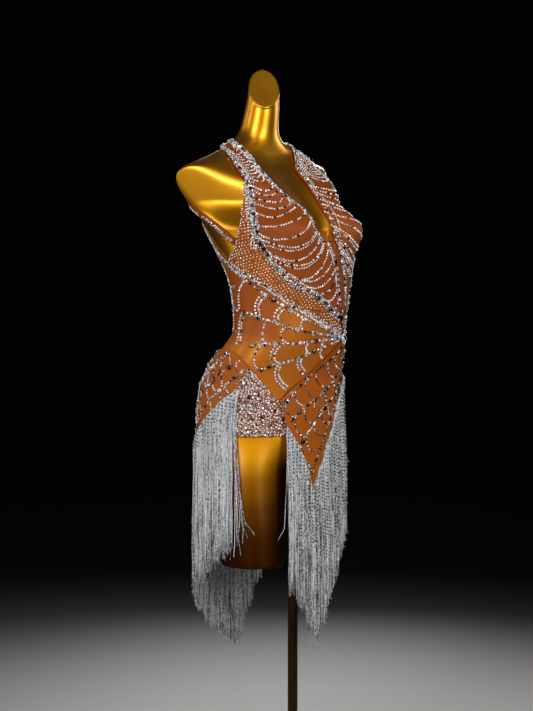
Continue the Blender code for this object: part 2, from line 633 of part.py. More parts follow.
# place from front to back, half width
GUSSET = [
    dict(y=-0.0392, half=0.0170), dict(y=-0.0372, half=0.0170),
    dict(y=-0.0335, half=0.0145), dict(y=-0.0298, half=0.0120),
    dict(y=-0.0260, half=0.0120), dict(y=-0.0200, half=0.0150),
    dict(y=-0.0135, half=0.0200), dict(y=0.0135, half=0.0200),
    dict(y=0.0270, half=0.0130), dict(y=0.0450, half=0.0095),
    dict(y=0.0650, half=0.0085), dict(y=0.0850, half=0.0095),
    dict(y=0.1050, half=0.0120), dict(y=0.1250, half=0.0135),
    dict(y=0.1370, half=0.0125), dict(y=0.1450, half=0.0120),
    dict(y=0.1510, half=0.0120), dict(y=0.1570, half=0.0125),
    dict(y=0.1620, half=0.0160), dict(y=0.1660, half=0.0165),
    dict(y=0.1700, half=0.0170),
]


def build_gusset(form):
    """Crotch strip of the briefs, with an eyelet for the stand's pole."""
    bm = bmesh.new()
    bm.from_mesh(form.data)
    tree = BVHTree.FromBMesh(bm)
    bm.free()
    rows = []
    for mark in GUSSET:
        row = []
        for f in (-1.0, -0.66, 0.0, 0.66, 1.0):
            x = mark["half"] * f
            spot, normal, _, _ = tree.ray_cast(Vector((x, mark["y"], 0.78)),
                                               Vector((0, 0, 1)))
            if f == 0.0:        # in the fold between the legs
                normal = Vector((0, 0, -2.6))
            row.append(spot + normal * 0.0046 - Vector((0, 0, 0.0012)))
        rows.append(row)
    mesh = grid_mesh("briefs_gusset", rows, skip={(6, 1), (6, 2)})
    total = sum(p.area * p.normal.z for p in mesh.polygons)
    if total > 0:
        mesh.flip_normals()
    ob = add_object("briefs_gusset", mesh, STONED)
    thicken(ob, WALL)
    return ob


build_gusset(FORM)

# ------------------------------------------------------------ skirt
panel("skirt_front", FRONT_TOP, FRONT_HEM, SATIN, GAP_2, WALL, across=7, sub=2, leave=0.995)
panel("skirt_back", HIP_TOP, HIP_HEM, SATIN, GAP_2, WALL, across=10, sub=3, leave=0.915)

# ------------------------------------------------------------ fringe
BACK_CENTRE = 9
fringe("fringe_front", FRONT_HEM[2:], SILVER, 0.995, 0.0060)
fringe("fringe_back_right", HIP_HEM[:BACK_CENTRE + 1], SILVER, 0.915, 0.0030)
fringe("fringe_back_left", HIP_HEM[BACK_CENTRE:], SILVER, 0.915, 0.0030)
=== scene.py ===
"""Looks of the latin dance dress on its form: cloth, stones, fringe, stand.

Metres, +Z up, the wearer faces -Y, the wearer's right is -X.  Every cloth
layer is the same figure moved out by its gap, so the stones are laid on it
with the same function that made the cloth under them.
"""
from math import radians, pi, cos, sin, atan2

import bpy
import numpy as np
from mathutils import Vector, Matrix


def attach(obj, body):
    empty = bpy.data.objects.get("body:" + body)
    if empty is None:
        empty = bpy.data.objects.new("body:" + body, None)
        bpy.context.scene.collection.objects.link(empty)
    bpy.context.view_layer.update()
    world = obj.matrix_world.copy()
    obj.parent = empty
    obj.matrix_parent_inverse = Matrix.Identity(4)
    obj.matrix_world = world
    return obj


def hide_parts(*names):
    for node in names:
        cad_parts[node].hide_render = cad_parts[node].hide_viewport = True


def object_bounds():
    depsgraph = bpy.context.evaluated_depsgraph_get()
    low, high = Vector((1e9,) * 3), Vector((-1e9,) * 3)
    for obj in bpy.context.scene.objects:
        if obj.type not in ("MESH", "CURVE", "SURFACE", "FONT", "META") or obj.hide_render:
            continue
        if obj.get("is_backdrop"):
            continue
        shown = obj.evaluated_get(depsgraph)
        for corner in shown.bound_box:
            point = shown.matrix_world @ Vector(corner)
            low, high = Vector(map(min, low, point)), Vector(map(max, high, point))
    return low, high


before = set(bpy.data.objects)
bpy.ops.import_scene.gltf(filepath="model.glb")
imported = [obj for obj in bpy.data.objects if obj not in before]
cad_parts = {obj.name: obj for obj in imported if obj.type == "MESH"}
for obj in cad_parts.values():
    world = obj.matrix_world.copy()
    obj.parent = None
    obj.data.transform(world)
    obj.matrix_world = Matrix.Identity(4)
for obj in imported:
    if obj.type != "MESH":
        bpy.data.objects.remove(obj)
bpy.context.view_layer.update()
rng = np.random.default_rng(11)

# ------------------------------------------------------------ sizes
GAP_1, WALL_1 = 0.0016, 0.0010
GAP_CUP, WALL_CUP = 0.0026, 0.0016
GAP_2, WALL_2 = 0.0044, 0.0010
GAP_FRINGE = 0.0050
FRINGE_LENGTH = 0.295
CROTCH_Z, CROTCH_DIP, LEG_END = 0.885, 0.026, 0.640
POLE_R, BASE_R = 0.0095, 0.190
AROUND = 160
ALONG_CROTCH = 22

FIGURE = [
    dict(z=0.845, yc=0.0665, a=0.1500, bf=0.1065, bb=0.1065),
    dict(z=0.885, yc=0.0665, a=0.1510, bf=0.1070, bb=0.1070),
    dict(z=0.920, yc=0.0650, a=0.1515, bf=0.1080, bb=0.1085),
    dict(z=0.962, yc=0.0605, a=0.1495, bf=0.1075, bb=0.1080),
    dict(z=0.989, yc=0.0545, a=0.1455, bf=0.1050, bb=0.1055),
    dict(z=1.015, yc=0.0450, a=0.1390, bf=0.1010, bb=0.1015),
    dict(z=1.042, yc=0.0300, a=0.1295, bf=0.0955, bb=0.0960),
    dict(z=1.069, yc=0.0150, a=0.1190, bf=0.0890, bb=0.0890),
    dict(z=1.092, yc=0.0085, a=0.1155, bf=0.0860, bb=0.0860),
    dict(z=1.139, yc=0.0080, a=0.1190, bf=0.0895, bb=0.0895),
    dict(z=1.187, yc=0.0115, a=0.1260, bf=0.0920, bb=0.0985),
    dict(z=1.234, yc=0.0320, a=0.1350, bf=0.0900, bb=0.1050),
    dict(z=1.280, yc=0.0545, a=0.1480, bf=0.0800, bb=0.1065),
    dict(z=1.312, yc=0.0730, a=0.1680, bf=0.0700, bb=0.0920),
    dict(z=1.342, yc=0.0870, a=0.1950, bf=0.0655, bb=0.0750),
    dict(z=1.367, yc=0.0940, a=0.2060, bf=0.0580, bb=0.0630),
    dict(z=1.388, yc=0.0990, a=0.1850, bf=0.0480, bb=0.0540),
    dict(z=1.404, yc=0.1020, a=0.1420, bf=0.0440, bb=0.0470),
    dict(z=1.416, yc=0.1030, a=0.1070, bf=0.0420, bb=0.0430),
    dict(z=1.427, yc=0.1020, a=0.0810, bf=0.0415, bb=0.0420),
    dict(z=1.443, yc=0.0990, a=0.0520, bf=0.0388, bb=0.0408),
    dict(z=1.462, yc=0.0945, a=0.0388, bf=0.0355, bb=0.0375),
    dict(z=1.490, yc=0.0880, a=0.0345, bf=0.0325, bb=0.0350),
    dict(z=1.520, yc=0.0830, a=0.0312, bf=0.0295, bb=0.0310),
    dict(z=1.555, yc=0.0800, a=0.0300, bf=0.0285, bb=0.0295),
    dict(z=1.590, yc=0.0780, a=0.0300, bf=0.0285, bb=0.0290),
]
BUST = dict(x=0.071, z=1.293, high=0.091, wide=0.042, up=0.055, down=0.048)
SPAN = dict(high=0.024, wide=0.030, z=1.238, up=0.022, down=0.040)
STUMP = dict(n=(0.816, -0.540, -0.204), p=(0.153, 0.075, 1.348), soft=0.005)
NECK_CUT = dict(z=1.5425, y=0.0805, slope=1.200, slope_x=0.736, start=1.478)
LEG = [
    dict(z=0.885, x=0.0790, y=0.0640, a=0.0680, b=0.0880),
    dict(z=0.800, x=0.0790, y=0.0500, a=0.0655, b=0.0720),
    dict(z=0.720, x=0.0790, y=0.0380, a=0.0625, b=0.0660),
    dict(z=0.630, x=0.0790, y=0.0265, a=0.0580, b=0.0605),
]


# ------------------------------------------------------------ figure
def natural_spline(values):
    ys = np.asarray(values, float)
    n = len(ys)
    A = np.eye(n)
    r = np.zeros_like(ys)
    for i in range(1, n - 1):
        A[i, i - 1:i + 2] = (1, 4, 1)
        r[i] = 6 * (ys[i - 1] - 2 * ys[i] + ys[i + 1])
    M = np.linalg.solve(A, r)

    def at(u):
        u = np.clip(np.asarray(u, float), 0, n - 1)
        i = np.minimum(u.astype(int), n - 2)
        s = (u - i)[..., None]
        return (ys[i] * (1 - s) + ys[i + 1] * s
                + ((1 - s) ** 3 - (1 - s)) * M[i] / 6 + (s ** 3 - s) * M[i + 1] / 6)
    return at


figure_at = natural_spline([[row[c] for c in ("z", "yc", "a", "bf", "bb")] for row in FIGURE])
U_STEPS = np.linspace(0, len(FIGURE) - 1, 4000)
Z_STEPS = figure_at(U_STEPS)[:, 0]
leg_at = natural_spline([[row[c] for c in ("z", "x", "y", "a", "b")] for row in LEG])
LEG_U = np.linspace(0, len(LEG) - 1, 400)
LEG_Z = leg_at(LEG_U)[:, 0]


def smooth(x):
    x = np.clip(x, 0.0, 1.0)
    return x * x * (3 - 2 * x)


def bell(x, w):
    return np.exp(-0.5 * (x / w) ** 2)


def skin(t, z, span=0.0):
    """Points of the figure at angles t (radians) and heights z."""
    t, z = np.broadcast_arrays(np.asarray(t, float), np.asarray(z, float))
    row = figure_at(np.interp(np.maximum(z, FIGURE[0]["z"]), Z_STEPS, U_STEPS))
    yc, a, bf, bb = (row[..., k] for k in (1, 2, 3, 4))
    c, s = np.cos(t), np.sin(t)
    x = a * s
    y = yc - np.where(c > 0, bf, bb) * c
    front = smooth(c * 2.2)
    dz = z - BUST["z"]
    lobes = bell(x - BUST["x"], BUST["wide"]) + bell(x + BUST["x"], BUST["wide"])
    y = y - BUST["high"] * np.exp(
        -0.5 * (dz / np.where(dz > 0, BUST["up"], BUST["down"])) ** 2) * lobes * front
    if span:
        ds = z - SPAN["z"]
        y = y - span * SPAN["high"] * bell(x, SPAN["wide"]) * np.exp(
            -0.5 * (ds / np.where(ds > 0, SPAN["up"], SPAN["down"])) ** 2) * front
    P = np.stack([x, y, z], -1)
    for side in (1, -1):
        n = np.array(STUMP["n"]) * (side, 1, 1)
        n = n / np.linalg.norm(n)
        q = np.array(STUMP["p"]) * (side, 1, 1)
        d = (P - q) @ n
        k = STUMP["soft"]
        over = k * np.log1p(np.exp(np.clip(d / k, -40, 40)))
        over = np.where(P[..., 0] * side > 0.04, over, 0.0) * smooth((z - 1.272) / 0.05)
        P = P - over[..., None] * n
    return P


def unit(v):
    return v / np.maximum(np.linalg.norm(v, axis=-1, keepdims=True), 1e-12)


def outward(t, z, span=1.0):
    e, h = 0.01, 0.002
    dt = skin(t + e, z, span) - skin(t - e, z, span)
    dz = skin(t, z + h, span) - skin(t, z - h, span)
    return unit(np.cross(dt, dz))


def hang(t, z, leave):
    best = np.full(np.shape(z), -1.0)
    point = np.zeros(np.shape(z) + (3,))
    for k in range(19):
        zz = np.maximum(z, CROTCH_Z)
        zz = zz + (np.maximum(leave, z) - zz) * k / 18
        p = skin(t, zz, 1.0)
        r = np.hypot(p[..., 0], p[..., 1] - 0.055)
        far = r > best
        best = np.where(far, r, best)
        point[far] = p[far]
    point[..., 2] = z
    return point


# soft ridges and troughs of the cloth: from, to (angle, height), width, height
CREASES = [
    # waist, wearer's right and round the back
    dict(t0=-118, z0=1.098, t1=-74, z1=1.088, wide=.0075, high=.0011),
    dict(t0=-126, z0=1.082, t1=-88, z1=1.076, wide=.0060, high=.0013),
    dict(t0=-112, z0=1.066, t1=-80, z1=1.062, wide=.0055, high=.0008),
    dict(t0=-170, z0=1.094, t1=-132, z1=1.090, wide=.0080, high=.0010),
    dict(t0=-205, z0=1.080, t1=-150, z1=1.078, wide=.0065, high=.0014),
    dict(t0=-226, z0=1.098, t1=-192, z1=1.106, wide=.0085, high=.0009),
    dict(t0=-262, z0=1.078, t1=-232, z1=1.086, wide=.0060, high=.0012),
    dict(t0=112, z0=1.096, t1=72, z1=1.088, wide=.0075, high=.0011),
    dict(t0=100, z0=1.074, t1=66, z1=1.068, wide=.0055, high=.0008),
    # pulls towards the gather at the left waist
    dict(t0=-62, z0=1.090, t1=18, z1=1.074, wide=.0050, high=.0004),
    dict(t0=-40, z0=1.046, t1=24, z1=1.061, wide=.0045, high=.0005),
    dict(t0=-22, z0=1.004, t1=30, z1=1.058, wide=.0045, high=.0005),
    # hips, towards the hem
    dict(t0=-96, z0=1.026, t1=-84, z1=0.946, wide=.0060, high=.0009),
    dict(t0=-128, z0=1.020, t1=-118, z1=0.890, wide=.0085, high=.0010),
    dict(t0=-150, z0=0.985, t1=-146, z1=0.850, wide=.0090, high=.0016),
    dict(t0=-174, z0=0.960, t1=-176, z1=0.790, wide=.0100, high=.0020),
    dict(t0=-196, z0=0.985, t1=-201, z1=0.830, wide=.0090, high=.0015),
    dict(t0=-222, z0=1.015, t1=-229, z1=0.872, wide=.0080, high=.0012),
    dict(t0=-258, z0=1.022, t1=-266, z1=0.930, wide=.0065, high=.0010),
    dict(t0=70, z0=1.030, t1=66, z1=0.985, wide=.0050, high=.0007),
    # front panel below the belly
    dict(t0=-12, z0=0.972, t1=-8, z1=0.880, wide=.0060, high=.0008),
    dict(t0=10, z0=0.985, t1=6, z1=0.810, wide=.0070, high=.0014),
    dict(t0=29, z0=1.010, t1=23, z1=0.890, wide=.0060, high=.0009),
    # under the cups and at the shoulders
    dict(t0=-47, z0=1.226, t1=-28, z1=1.196, wide=.0060, high=.0006),
    dict(t0=-33, z0=1.206, t1=-12, z1=1.178, wide=.0050, high=.0005),
    dict(t0=49, z0=1.230, t1=40, z1=1.186, wide=.0055, high=.0006),
    dict(t0=45, z0=1.190, t1=38, z1=1.130, wide=.0045, high=.0005),
    dict(t0=-36, z0=1.396, t1=-25, z1=1.350, wide=.0045, high=.0005),
    dict(t0=33, z0=1.398, t1=22, z1=1.352, wide=.0045, high=.0005),
]


def crease(t_deg, z):
    """Height of the cloth's creases over its smooth form."""
    t = np.where(t_deg > 110, t_deg - 360, t_deg)
    total = np.zeros(np.broadcast(t, z).shape)
    for c in CREASES:
        t0, t1 = c["t0"], c["t1"]
        if t0 > 110 or t1 > 110:
            t0, t1 = t0 - 360, t1 - 360
        ax, az = radians(t0) * .125, c["z0"]
        dx, dz = radians(t1 - t0) * .125, c["z1"] - c["z0"]
        length2 = dx * dx + dz * dz
        for wrap in (0, 360, -360):
            x = np.radians(t + wrap) * .125
            s = ((x - ax) * dx + (z - az) * dz) / length2
            sc = np.clip(s, 0, 1)
            d2 = (x - ax - sc * dx) ** 2 + (z - az - sc * dz) ** 2
            taper = smooth(1.15 - np.abs(sc - .45) * 1.9) * .75 + .25
            total = total + c["high"] * taper * np.exp(-d2 / (2 * c["wide"] ** 2))
    return total


def worn(t_deg, z, gap, leave=None, creased=True):
    """Points of a cloth layer `gap` clear of the figure, and its normals."""
    t_deg, z = np.broadcast_arrays(np.asarray(t_deg, float), np.asarray(z, float))
    t = np.radians(t_deg)
    P = skin(t, z, 1.0)
    N = outward(t, z)
    if leave is not None:
        low = z <= leave
        if low.any():
            P = P.copy()
            P[low] = hang(t[low], z[low], leave)
            flat = outward(t, np.maximum(z, CROTCH_Z + 0.01))
            flat[..., 2] = 0
            flat = unit(flat)
            w = smooth((leave - z) / 0.03)[..., None]
            N = unit(N * (1 - w) + flat * w)
    extra = crease(t_deg, z) if creased else 0.0
    if callable(gap):
        gap = gap(t_deg, z)
    return P + N * (gap + np.asarray(extra))[..., None], N


# ------------------------------------------------------------ seam lines
def seam(*rows):
    return np.array(rows, float)


def mirrored(line):
    return line * (-1, 1)


CUP_OUTER = seam(
    (-80.0, 1.4215), (-56.0, 1.4110), (-42.0, 1.4000), (-34.5, 1.3860),
    (-32.5, 1.3730), (-32.0, 1.3560), (-41.0, 1.3280), (-53.0, 1.2980),
    (-57.0, 1.2770), (-58.5, 1.2500), (-56.5, 1.2350), (-53.0, 1.2180),
    (-43.5, 1.1910), (-32.0, 1.1720), (-19.0, 1.1600), (-3.0, 1.1410),
    (9.0, 1.1230), (25.0, 1.1070))
CUP_INNER = seam(
    (-108.0, 1.4420), (-56.0, 1.4270), (-29.0, 1.4100), (-21.0, 1.3950),
    (-18.0, 1.3810), (-19.0, 1.3600), (-21.0, 1.3320), (-21.5, 1.3050),
    (-17.0, 1.2800), (-10.0, 1.2600), (-5.5, 1.2480), (-1.5, 1.2360),
    (3.5, 1.2150), (9.0, 1.1950), (14.0, 1.1750), (19.0, 1.1550),
    (23.0, 1.1380), (28.5, 1.1150))
BAND_OUTER = seam(
    (-33.5, 1.3560), (-45.0, 1.3280), (-60.0, 1.2990), (-70.0, 1.2720),
    (-83.0, 1.2350), (-100.5, 1.2110), (-88.0, 1.1990), (-68.0, 1.1790),
    (-50.0, 1.1560), (-34.0, 1.1360), (-14.5, 1.1140), (3.0, 1.0970),
    (22.0, 1.0800), (39.0, 1.0680))
BAND_INNER = seam(
    (-32.0, 1.3560), (-41.0, 1.3280), (-53.0, 1.2980), (-57.0, 1.2770),
    (-58.5, 1.2500), (-56.5, 1.2350), (-53.0, 1.2180), (-43.5, 1.1910),
    (-32.0, 1.1720), (-19.0, 1.1600), (-3.0, 1.1410), (9.0, 1.1230),
    (25.0, 1.1070), (39.0, 1.0730))
STRIP_LEFT = seam(
    (3.0, 1.2480), (6.0, 1.2360), (12.0, 1.2150), (18.0, 1.1950),
    (24.0, 1.1750), (29.0, 1.1550), (33.0, 1.1380), (37.0, 1.1150),
    (40.0, 1.0730))
STRIP_RIGHT = seam(
    (-3.5, 1.2480), (-1.0, 1.2360), (4.0, 1.2150), (9.0, 1.1950),
    (14.0, 1.1750), (19.0, 1.1550), (23.0, 1.1380), (28.5, 1.1150),
    (39.0, 1.0740))
LEFT_CUP_INNER = seam(
    (108.0, 1.4420), (52.0, 1.4270), (26.0, 1.4100), (15.0, 1.3950),
    (10.0, 1.3810), (9.0, 1.3600), (8.5, 1.3320), (8.5, 1.3050),
    (8.0, 1.2800), (5.5, 1.2600), (3.0, 1.2480), (6.0, 1.2360),
    (12.0, 1.2150), (18.0, 1.1950), (24.0, 1.1750), (29.0, 1.1550),
    (33.0, 1.1380), (37.0, 1.1150), (40.0, 1.0730))
LEFT_CUP_OUTER = seam(
    (80.0, 1.4215), (56.0, 1.4110), (42.0, 1.4000), (34.5, 1.3860),
    (32.5, 1.3730), (32.0, 1.3560), (41.0, 1.3280), (53.0, 1.2980),
    (57.0, 1.2770), (59.0, 1.2500), (59.0, 1.2350), (58.5, 1.2180),
    (57.5, 1.2000), (56.0, 1.1820), (54.0, 1.1640), (51.5, 1.1460),
    (49.0, 1.1280), (46.0, 1.1060), (42.4, 1.0730))
LEFT_BAND_OUTER = seam(
    (33.5, 1.3560), (45.0, 1.3280), (60.0, 1.2990), (70.0, 1.2720),
    (83.0, 1.2350), (100.5, 1.2110), (95.0, 1.1930), (87.0, 1.1740),
    (78.0, 1.1540), (68.0, 1.1330), (58.0, 1.1120), (50.0, 1.0920),
    (43.5, 1.0710))
LEFT_BAND_INNER = seam(
    (32.0, 1.3560), (41.0, 1.3280), (53.0, 1.2980), (57.0, 1.2770),
    (59.0, 1.2500), (59.0, 1.2350), (58.5, 1.2180), (57.5, 1.2000),
    (56.0, 1.1820), (54.0, 1.1640), (51.5, 1.1460), (49.0, 1.1280),
    (42.8, 1.0720))
MIDRIFF_TOP = seam(
    (-100.5, 1.2110), (-88.0, 1.1990), (-68.0, 1.1790), (-59.0, 1.1675),
    (-50.0, 1.1560), (-42.0, 1.1460), (-34.0, 1.1360), (-24.0, 1.1247),
    (-14.5, 1.1140), (3.0, 1.0970), (22.0, 1.0800), (38.6, 1.0675))
MIDRIFF_LOW = seam(
    (-100.5, 1.0460), (-91.0, 1.0460), (-72.0, 1.0330), (-58.5, 1.0180),
    (-48.0, 1.0000), (-38.0, 0.9780), (-28.0, 0.9575), (-19.0, 0.9790),
    (-10.0, 0.9950), (5.0, 1.0240), (22.0, 1.0500), (38.6, 1.0645))
LEFT_SIDE_TOP = seam(
    (43.5, 1.0700), (50.0, 1.0912), (58.0, 1.1112), (68.0, 1.1322),
    (78.0, 1.1532), (87.0, 1.1732), (95.0, 1.1922), (100.5, 1.2100))
LEFT_SIDE_LOW = seam(
    (43.5, 1.0655), (50.0, 1.0630), (58.0, 1.0580), (68.0, 1.0530),
    (78.0, 1.0490), (87.0, 1.0470), (95.0, 1.0460), (100.5, 1.0460))
BACK_TOP = seam(
    (-101.0, 1.2110), (-109.0, 1.2240), (-116.0, 1.2400), (-122.0, 1.2580),
    (-130.0, 1.2790), (-142.0, 1.2990), (-155.0, 1.3130), (-168.0, 1.3220),
    (-180.0, 1.3250), (-192.0, 1.3220), (-205.0, 1.3130), (-218.0, 1.2990),
    (-230.0, 1.2790), (-238.0, 1.2580), (-244.0, 1.2400), (-251.0, 1.2240),
    (-259.0, 1.2110))
BACK_LOW = np.array([(t, 1.0460 - 0.011 * smooth((80 - abs(t + 180)) / 80))
                     for t, _ in BACK_TOP])
SIDE_STRAP_UP = seam(
    (-76.2, 1.2550), (-83.0, 1.2780), (-92.5, 1.2940), (-104.0, 1.3100),
    (-118.0, 1.3230), (-132.0, 1.3330), (-148.0, 1.3400), (-163.0, 1.3440))
SIDE_STRAP_LOW = seam(
    (-80.5, 1.2440), (-87.0, 1.2650), (-95.0, 1.2810), (-106.0, 1.2970),
    (-119.0, 1.3100), (-132.0, 1.3200), (-148.0, 1.3270), (-163.0, 1.3310))
BACK_STRAP_OUTER = seam(
    (-80.6, 1.4210), (-118.0, 1.4290), (-138.0, 1.4240), (-150.0, 1.4070),
    (-157.5, 1.3820), (-163.0, 1.3520), (-163.6, 1.3310))
BACK_STRAP_INNER = seam(
    (-108.6, 1.4415), (-140.0, 1.4400), (-157.0, 1.4280), (-166.0, 1.4060),
    (-171.0, 1.3770), (-174.0, 1.3480), (-174.0, 1.3310))
FRONT_TOP = seam(
    (-28.5, 0.9585), (-25.0, 0.9650), (-22.5, 0.9720), (-16.5, 0.9830),
    (-10.0, 0.9950), (-4.5, 1.0055), (0.0, 1.0140), (7.0, 1.0275),
    (16.5, 1.0430), (25.0, 1.0535), (32.0, 1.0600), (41.0, 1.0650),
    (47.5, 1.0640), (55.0, 1.0600), (62.0, 1.0560))
FRONT_HEM = seam(
    (-29.0, 0.9540), (-26.5, 0.9280), (-24.5, 0.9065), (-17.5, 0.8800),
    (-10.5, 0.8480), (-5.0, 0.8150), (-1.0, 0.7835), (6.0, 0.8220),
    (15.5, 0.8700), (24.0, 0.9080), (31.0, 0.9450), (40.0, 0.9670),
    (47.0, 0.9800), (55.0, 0.9880), (62.0, 0.9900))
HIP_TOP = seam(
    (-59.0, 1.0180), (-72.0, 1.0335), (-86.0, 1.0440), (-99.0, 1.0465),
    (-111.5, 1.0460), (-125.0, 1.0440), (-140.0, 1.0410), (-154.0, 1.0380),
    (-167.0, 1.0360), (-180.0, 1.0350), (-193.0, 1.0360), (-206.0, 1.0380),
    (-220.0, 1.0410), (-235.0, 1.0440), (-248.5, 1.0460), (-261.0, 1.0465),
    (-274.0, 1.0480), (-286.0, 1.0520), (-298.0, 1.0560))
HIP_HEM = seam(
    (-64.0, 0.9770), (-77.0, 0.9530), (-86.5, 0.9330), (-99.5, 0.9080),
    (-111.5, 0.8860), (-125.0, 0.8660), (-140.0, 0.8410), (-154.0, 0.8130),
    (-167.0, 0.7850), (-180.0, 0.7570), (-188.0, 0.7450), (-198.0, 0.8200),
    (-211.0, 0.8970), (-226.0, 0.9250), (-243.0, 0.9400), (-260.5, 0.9530),
    (-273.5, 0.9640), (-285.0, 0.9760), (-298.0, 0.9900))
BRIEF_TOP = seam(
    (-180.0, 1.0290), (-160.0, 1.0300), (-140.0, 1.0330), (-120.0, 1.0370),
    (-100.0, 1.0400), (-88.0, 1.0390), (-72.0, 1.0325), (-58.5, 1.0175),
    (-48.0, 0.9995), (-38.0, 0.9775), (-28.0, 0.9570), (-19.0, 0.9740),
    (-10.0, 0.9900), (5.0, 1.0180), (22.0, 1.0430), (38.6, 1.0560),
    (55.0, 1.0500), (75.0, 1.0430), (95.0, 1.0400), (120.0, 1.0370),
    (140.0, 1.0330), (160.0, 1.0300), (180.0, 1.0290))
BRIEF_HEM_Z = 0.8870
BRIDGE_UP = seam((-13.8, 1.2720), (-3.5, 1.2670), (6.4, 1.2720))
BRIDGE_LOW = seam((-5.2, 1.2500), (-1.5, 1.2495), (2.6, 1.2500))


def through(rows, n):
    """n points of a smooth line through the rows, with no overshoot."""
    rows = np.asarray(rows, float)
    m = len(rows)
    d = np.diff(rows, axis=0)
    s = np.zeros_like(rows)
    for k in range(1, m - 1):
        a, b = d[k - 1], d[k]
        ok = a * b > 0
        s[k] = np.where(ok, 2 * a * b / np.where(ok, a + b, 1), 0)
    s[0], s[-1] = d[0], d[-1]
    u = np.linspace(0, m - 1, n)
    i = np.minimum(u.astype(int), m - 2)
    f = (u - i)[:, None]
    return (rows[i] * (1 + 2 * f) * (1 - f) ** 2 + s[i] * f * (1 - f) ** 2
            + rows[i + 1] * f * f * (3 - 2 * f) - s[i + 1] * f * f * (1 - f))


# ------------------------------------------------------------ mesh helpers
def mesh_object(name, V, F, mats, smooth_faces=True, index=None):
    """Object from an array of points and a list or array of faces."""
    me = bpy.data.meshes.new(name)
    V = np.asarray(V, np.float32)
    if isinstance(F, np.ndarray):
        count, k = F.shape
        me.vertices.add(len(V))
        me.vertices.foreach_set("co", V.ravel())
        me.loops.add(count * k)
        me.loops.foreach_set("vertex_index", F.astype(np.int32).ravel())
        me.polygons.add(count)
        me.polygons.foreach_set("loop_start", np.arange(0, count * k, k, dtype=np.int32))
        me.update(calc_edges=True)
    else:
        me.from_pydata(V.tolist(), [], F)
    for m in (mats if isinstance(mats, (list, tuple)) else [mats]):
        me.materials.append(m)
    me.polygons.foreach_set("use_smooth", np.full(len(me.polygons), smooth_faces))
    if index is not None:
        me.polygons.foreach_set("material_index", np.asarray(index, np.int32))
    me.validate()
    me.update()
    ob = bpy.data.objects.new(name, me)
    bpy.context.scene.collection.objects.link(ob)
    return ob


def grid_faces(n, m, offset=0, flip=False, wrap=False):
    i = np.arange(n if wrap else n - 1)
    j = np.arange(m - 1)
    I, J = np.meshgrid(i, j, indexing="ij")
    K = (I + 1) % n
    q = np.stack([I * m + J, I * m + J + 1, K * m + J + 1, K * m + J], -1).reshape(-1, 4)
    if flip:
        q = q[:, ::-1]
    return q + offset


def shell(name, P, N, wall, mat, wrap=False):
    """Closed thin shell: P is the inner face, the outer is a wall further out."""
    n, m = P.shape[:2]
    count = n * m
    outer = P + N * wall
    V = np.concatenate([outer.reshape(-1, 3), P.reshape(-1, 3)])
    a, b = P[1, 1] - P[0, 1], P[0, 2] - P[0, 1]
    flip = bool(np.dot(np.cross(b, a), N[0, 1]) < 0)
    parts = [grid_faces(n, m, 0, flip, wrap), grid_faces(n, m, count, not flip, wrap)]

    def rim(ring, rev):
        k = np.array(ring)
        q = np.stack([k[:-1], k[1:], k[1:] + count, k[:-1] + count], -1)
        return q[:, ::-1] if rev else q
    rows = list(range(n)) + ([0] if wrap else [])
    parts.append(rim([i * m for i in rows], not flip))
    parts.append(rim([i * m + m - 1 for i in rows], flip))
    if not wrap:
        parts.append(rim(list(range(m)), flip))
        parts.append(rim([(n - 1) * m + j for j in range(m)], not flip))
    ob = mesh_object(name, V, np.concatenate(parts), mat)
    ob.data.set_sharp_from_angle(angle=radians(50))
    return ob


PANELS = {}


def panel(name, one, two, mat, gap, wall, n, m, leave=None, wrap=False, lift=None):
    A, B = through(one, n), through(two, n)
    if wrap:
        A, B = A[:-1], B[:-1]
    g = np.linspace(0, 1, m)[None, :, None]
    TZ = A[:, None] * (1 - g) + B[:, None] * g
    P, N = worn(TZ[..., 0], TZ[..., 1], gap, leave)
    if lift is not None:
        P = P + N * lift(TZ[..., 0], TZ[..., 1])[..., None]
    ob = shell(name, P, N, wall, mat, wrap)
    PANELS[name] = ob
    return ob


# ------------------------------------------------------------ materials
def new_material(name):
    m = bpy.data.materials.new(name)
    m.use_nodes = True
    nt = m.node_tree
    bsdf = nt.nodes["Principled BSDF"]
    return m, nt, bsdf


def node(nt, kind, **values):
    n = nt.nodes.new(kind)
    for key, value in values.items():
        if key in n.inputs.keys():
            n.inputs[key].default_value = value
        else:
            setattr(n, key, value)
    return n


def ramp(nt, stops):
    n = nt.nodes.new("ShaderNodeValToRGB")
    el = n.color_ramp.elements
    while len(el) < len(stops):
        el.new(0.5)
    for e, (pos, col) in zip(el, stops):
        e.position = pos
        e.color = (*col, 1) if len(col) == 3 else col
    return n


def coords(nt, scale=(1, 1, 1)):
    tc = nt.nodes.new("ShaderNodeTexCoord")
    mp = node(nt, "ShaderNodeMapping")
    mp.inputs["Scale"].default_value = scale
    nt.links.new(tc.outputs["Object"], mp.inputs["Vector"])
    return mp.outputs["Vector"]


def noise(nt, vec, scale, detail=3.0, rough=0.5):
    n = node(nt, "ShaderNodeTexNoise", Scale=scale, Detail=detail, Roughness=rough)
    nt.links.new(vec, n.inputs["Vector"])
    return n.outputs["Fac"]


def bump(nt, height, bsdf, strength, distance, under=None):
    b = node(nt, "ShaderNodeBump", Strength=strength, Distance=distance)
    nt.links.new(height, b.inputs["Height"])
    if under is not None:
        nt.links.new(under.outputs["Normal"], b.inputs["Normal"])
    nt.links.new(b.outputs["Normal"], bsdf.inputs["Normal"])
    return b


